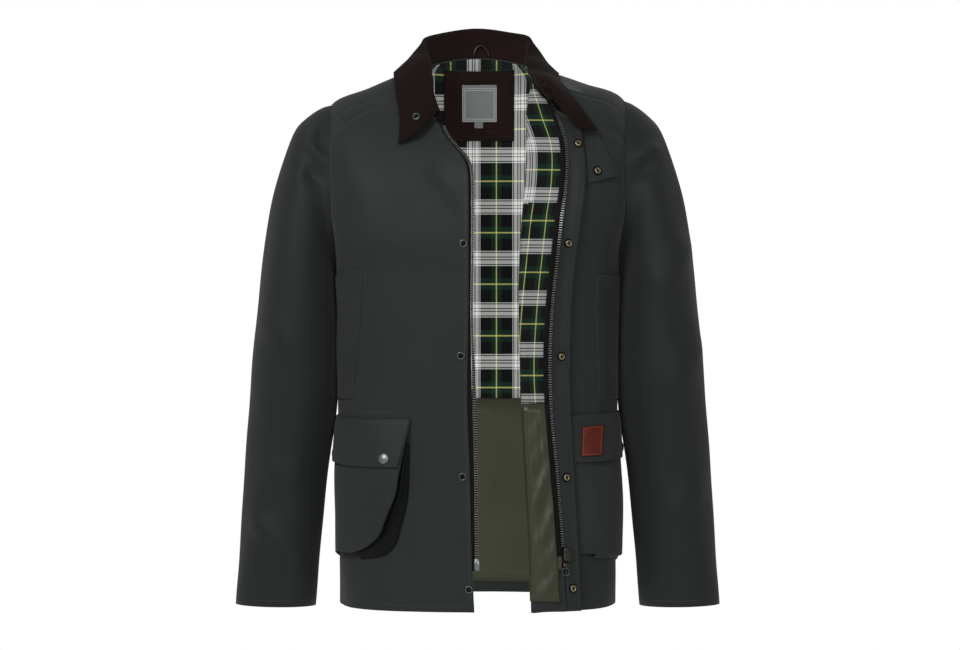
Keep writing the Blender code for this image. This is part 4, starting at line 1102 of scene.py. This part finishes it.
cast_part("zip_slider", "cast_zip_slider", dark_bronze)
cast_part("zip_box", "cast_zip_box", dark_bronze)
pin = cast_part("zip_pin", "pale_zip_pin", satin_nickel)
points = positions(pin.data)
move(pin.data, points.mean(axis=0) + (points - points.mean(axis=0)) * PIN_SHAPE)
start = (RIBBON_PLACE[0] * MM, BEFORE * MM, RIBBON_PLACE[1] * MM)
places, outs = drop(skin(cloths["zip_tape_left"]), [start])
copies("ribbon_at_zip_end", RIBBON_SIZE, places, [RIBBON_LEAN], outs, grey_ribbon, "zip_tape")
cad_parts["zip_pull"].data.materials.clear()
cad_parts["zip_pull"].data.materials.append(gunmetal)
print("corners of the pin:", len(points))

# %% [markdown]
# ## Press studs
# Each press stud is turned on a lathe, so it is a profile of radius and height spun round its
# axis. A socket shows a dark washer, a brass ring and the S-shaped spring across its hole. A stud
# shows a flange with its post, and a cap shows a plain dome. Axis and place come from the solid.

# %% Profiles of the press studs
PROFILES = {
    "washer": ((3.9, 0.5), (4.3, 1.3), (5.2, 1.5), (6.0, 1.2), (6.3, 0.5), (6.3, 0.0)),
    "ring": ((2.4, 0.6), (2.6, 1.7), (3.1, 2.2), (3.9, 2.1), (4.3, 1.6), (4.4, 0.8)),
    "well": ((0.0, 0.7), (2.8, 0.7)),
    "post": ((0.0, 3.1), (1.4, 3.0), (1.8, 2.6), (1.7, 1.5), (2.0, 0.9), (3.4, 0.9)),
    "rim": ((3.2, 0.7), (3.5, 1.3), (4.3, 1.5), (5.3, 1.2), (5.9, 0.5), (5.9, 0.0)),
    "dome": ((0.0, 2.5), (2.5, 2.35), (4.8, 1.85), (6.4, 1.2), (7.2, 0.75), (7.4, 0.35),
             (7.2, 0.0)),
}
# The socket's well and the stud's post are near black: painted shade for the hollows in their
# middles. The washer's dark plating is its own.
LAYERS = {
    "socket": (("washer", black_plating_and_painted_shade, "gunmetal"), ("ring", aged_brass, "aged_brass"),
               ("well", black_plating_and_painted_shade, "gunmetal")),
    "cap": (("dome", satin_nickel, "gunmetal"),),
    "stud": (("rim", gunmetal, "gunmetal"), ("post", black_plating_and_painted_shade, "gunmetal")),
}
TURN_STEPS = 40
WIRE_RADIUS, WIRE_STEPS = 0.3 * MM, 17
WIRE_ACROSS, WIRE_UP, WIRE_OUT = 1.3, 2.1, 1.3  # the spring's half sizes and height, millimetres
TAB_RISE = 2.2 * MM  # the tab's socket stands on a second layer of cloth
print("layers:", {kind: len(layers) for kind, layers in LAYERS.items()})

# %% Axis, turning and spring


def axis_of(node):
    """The place of a turned solid's foot, and axes with the last one out of the cloth."""
    points = positions(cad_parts[node].data)
    middle = points.mean(axis=0)
    axes = np.linalg.svd(points - middle, full_matrices=False)[2]
    out = axes[2]
    side = (np.sign(middle[0]), 0, 0) if "side" in node else (0, -1, 0)
    out = out if out @ side > 0 else -out
    first = unit(np.cross(out, [0.3, 0.1, 1.0]))
    foot = middle + out * ((points - middle) @ out).min()
    return foot, np.array([first, np.cross(out, first), out])


def spin(name, profile, place, axes, material, slot, node):
    """A profile of radius and height in millimetres, turned round an axis."""
    spun = bmesh.new()
    turns = np.arange(TURN_STEPS) / TURN_STEPS * math.tau
    circle = np.cos(turns)[:, None] * axes[0] + np.sin(turns)[:, None] * axes[1]
    rows = []
    for radius, height in profile:
        ring = place + (circle[:TURN_STEPS if radius else 1] * radius + axes[2] * height) * MM
        rows.append([spun.verts.new(point) for point in ring])
    for upper, lower in zip(rows, rows[1:]):
        for step in range(TURN_STEPS):
            after = (step + 1) % TURN_STEPS
            corners = [upper[step % len(upper)], lower[step], lower[after]]
            corners += [upper[after]] if len(upper) > 1 else []
            spun.faces.new(corners)
    bmesh.ops.recalc_face_normals(spun, faces=spun.faces)
    mesh = bpy.data.meshes.new(name)
    spun.to_mesh(mesh)
    spun.free()
    thing = placed(name, mesh)
    mesh.shade_smooth()
    mesh.set_sharp_from_angle(angle=math.radians(50))
    return wear(thing, material, slot, node)


def spring(name, place, axes):
    """The S-shaped wire that grips the stud."""
    curve = bpy.data.curves.new(name, "CURVE")
    curve.dimensions = "3D"
    curve.bevel_depth = WIRE_RADIUS
    curve.bevel_resolution = 2
    line = curve.splines.new("POLY")
    steps = np.linspace(-1, 1, WIRE_STEPS)
    line.points.add(len(steps) - 1)
    for point, step in zip(line.points, steps):
        across, up = WIRE_ACROSS * math.sin(step * 3.1), WIRE_UP * step
        point.co = (*(place + (axes[0] * across + axes[1] * up + axes[2] * WIRE_OUT) * MM), 1)
    return wear(placed(name, curve), satin_nickel, "gunmetal")


print("the collar stud points", axis_of("snap_stud_collar")[1][2].round(2))

# %% Press studs
for node in sorted(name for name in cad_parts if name.startswith("snap_")):
    place, axes = axis_of(node)
    if "collar" not in node:
        turn, level = find_on_form(place[None])
        lift = body_folds(turn, level)[0] + (TAB_RISE if "tab" in node else 0)
        place = place + body_normal(turn, level)[0] * lift
    kind = node.split("_")[1]
    for layer, material, slot in LAYERS[kind]:
        spin(node + "_" + layer, PROFILES[layer], place, axes, material, slot, node)
    if kind == "socket":
        spring(node + "_spring", place, axes)
    print(node, "faces", [round(part, 2) for part in axes[2]])

# %% [markdown]
# ## Hanger loop
# The loop is a glossy black cord, sewn in behind the neck patch and standing free of the cloth.

# %% Hanger loop
loop = small_piece("hanger_loop", "black_hanger_loop", black_cord, "zip_tape", free=True)
print("faces of the loop:", len(loop.data.polygons))

# %% [markdown]
# ## Stitches
# Thread shows as rows of small dashes, 3.4 mm a stitch, along edges, pocket flaps, welts and hems.
# The leather patch is sewn round its rim in a lighter rust thread, and the bare woven label has a
# double border in pale thread instead of a name.

# %% Lines of stitches
# Rows of thread as x and z in millimetres, grouped by the pieces that they are sewn on
ROWS = {
    "front": (("storm_fly", "front_left", "front_right", "handwarmer_welt_left",
               "handwarmer_welt_right", "throat_tab"), (
        ((145.5, -150), (139.5, -200), (132.5, -250), (126, -320), (123.5, -420), (126.5, -500),
         (132, -600), (137.5, -700), (139, -732)),
        ((-44, -98), (-25, -121), (-18.5, -139), (-17, -156), (-16.5, -238), (-17, -355),
         (-18, -400), (-18.3, -450), (-14.5, -555), (-12.5, -658), (-10, -710), (-9, -730)),
        ((-189, -722), (-150, -729), (-106, -732), (-50, -732.5), (-10, -731)),
        ((144, -728), (170, -725.5), (189, -721)),
        ((-187, -268), (-170, -271.5), (-156, -275.5)), ((-178, -275.5), (-155, -281)),
        ((-153, -274), (-156, -283)), ((-188, -449), (-168, -452)),
        ((162, -282.5), (194, -277.5)), ((162.5, -284), (167.5, -447)),
        ((167.5, -446.5), (194, -443.5)),
        ((-174, -466.5), (-120, -468)), ((149, -150), (184, -139.5)), ((184, -139.5), (162, -92)),
        ((-142, -44), (-170, -62), (-199, -78)), ((168, -79), (206, -96)),
    )),
    "pockets": (("pocket_flap_left", "pocket_flap_right", "pocket_front_left",
                 "pocket_front_right"), (
        ((-191, -480), (-150, -481.5), (-94, -482.5)), ((131, -475.5), (190, -468)),
        ((-102, -549), (-106, -560), (-109, -578), (-116, -598), (-124, -618), (-131, -633),
         (-142, -645), (-154, -654), (-168, -661), (-184, -669)),
        ((143, -660.5), (158, -664.5), (172, -666.3), (189, -663)),
    )),
    "cuffs": (("sleeve_left", "sleeve_right"), (
        ((-338, -732), (-231, -734)), ((338, -732), (231, -734)),
    )),
}
print("lines of stitches:", {group: len(lines) for group, (_, lines) in ROWS.items()})

# %% Leather rim, label borders and sewing
LEATHER_RIM = ((145.3, -489.8), (171.2, -487.9), (169.8, -525.2), (144.3, -526.1), (145.3, -489.8))
LABEL_BORDERS = [[(-23 + inset, -2 - inset), (28 - inset, -2 - inset), (28 - inset, -51 + inset),
                  (-23 + inset, -51 + inset), (-23 + inset, -2 - inset)] for inset in (1.3, 4.2)]


def sewn(group, pieces, lines, material, slot, *fineness):
    """Rows of thread on some pieces, and a word on how many stitches they took."""
    tree = skin(*[cloths[piece] for piece in pieces])
    rows = sew("thread_" + group, tree, lines, material, slot, *fineness)
    print(rows.name, len(rows.data.polygons) // len(TOOTH_FACES), "stitches")


for group, (pieces, lines) in ROWS.items():
    sewn(group, pieces, lines, shell_thread, "waxed_cotton")
sewn("leather_rim", ["leather_patch"], [LEATHER_RIM], rust_thread, "leather", (1.1, 2.3, 0.35), 2.9)
sewn("label_border", ["woven_label"], LABEL_BORDERS, pale_thread, "label_cloth", (0.8, 2.0, 0.25),
     1.9)
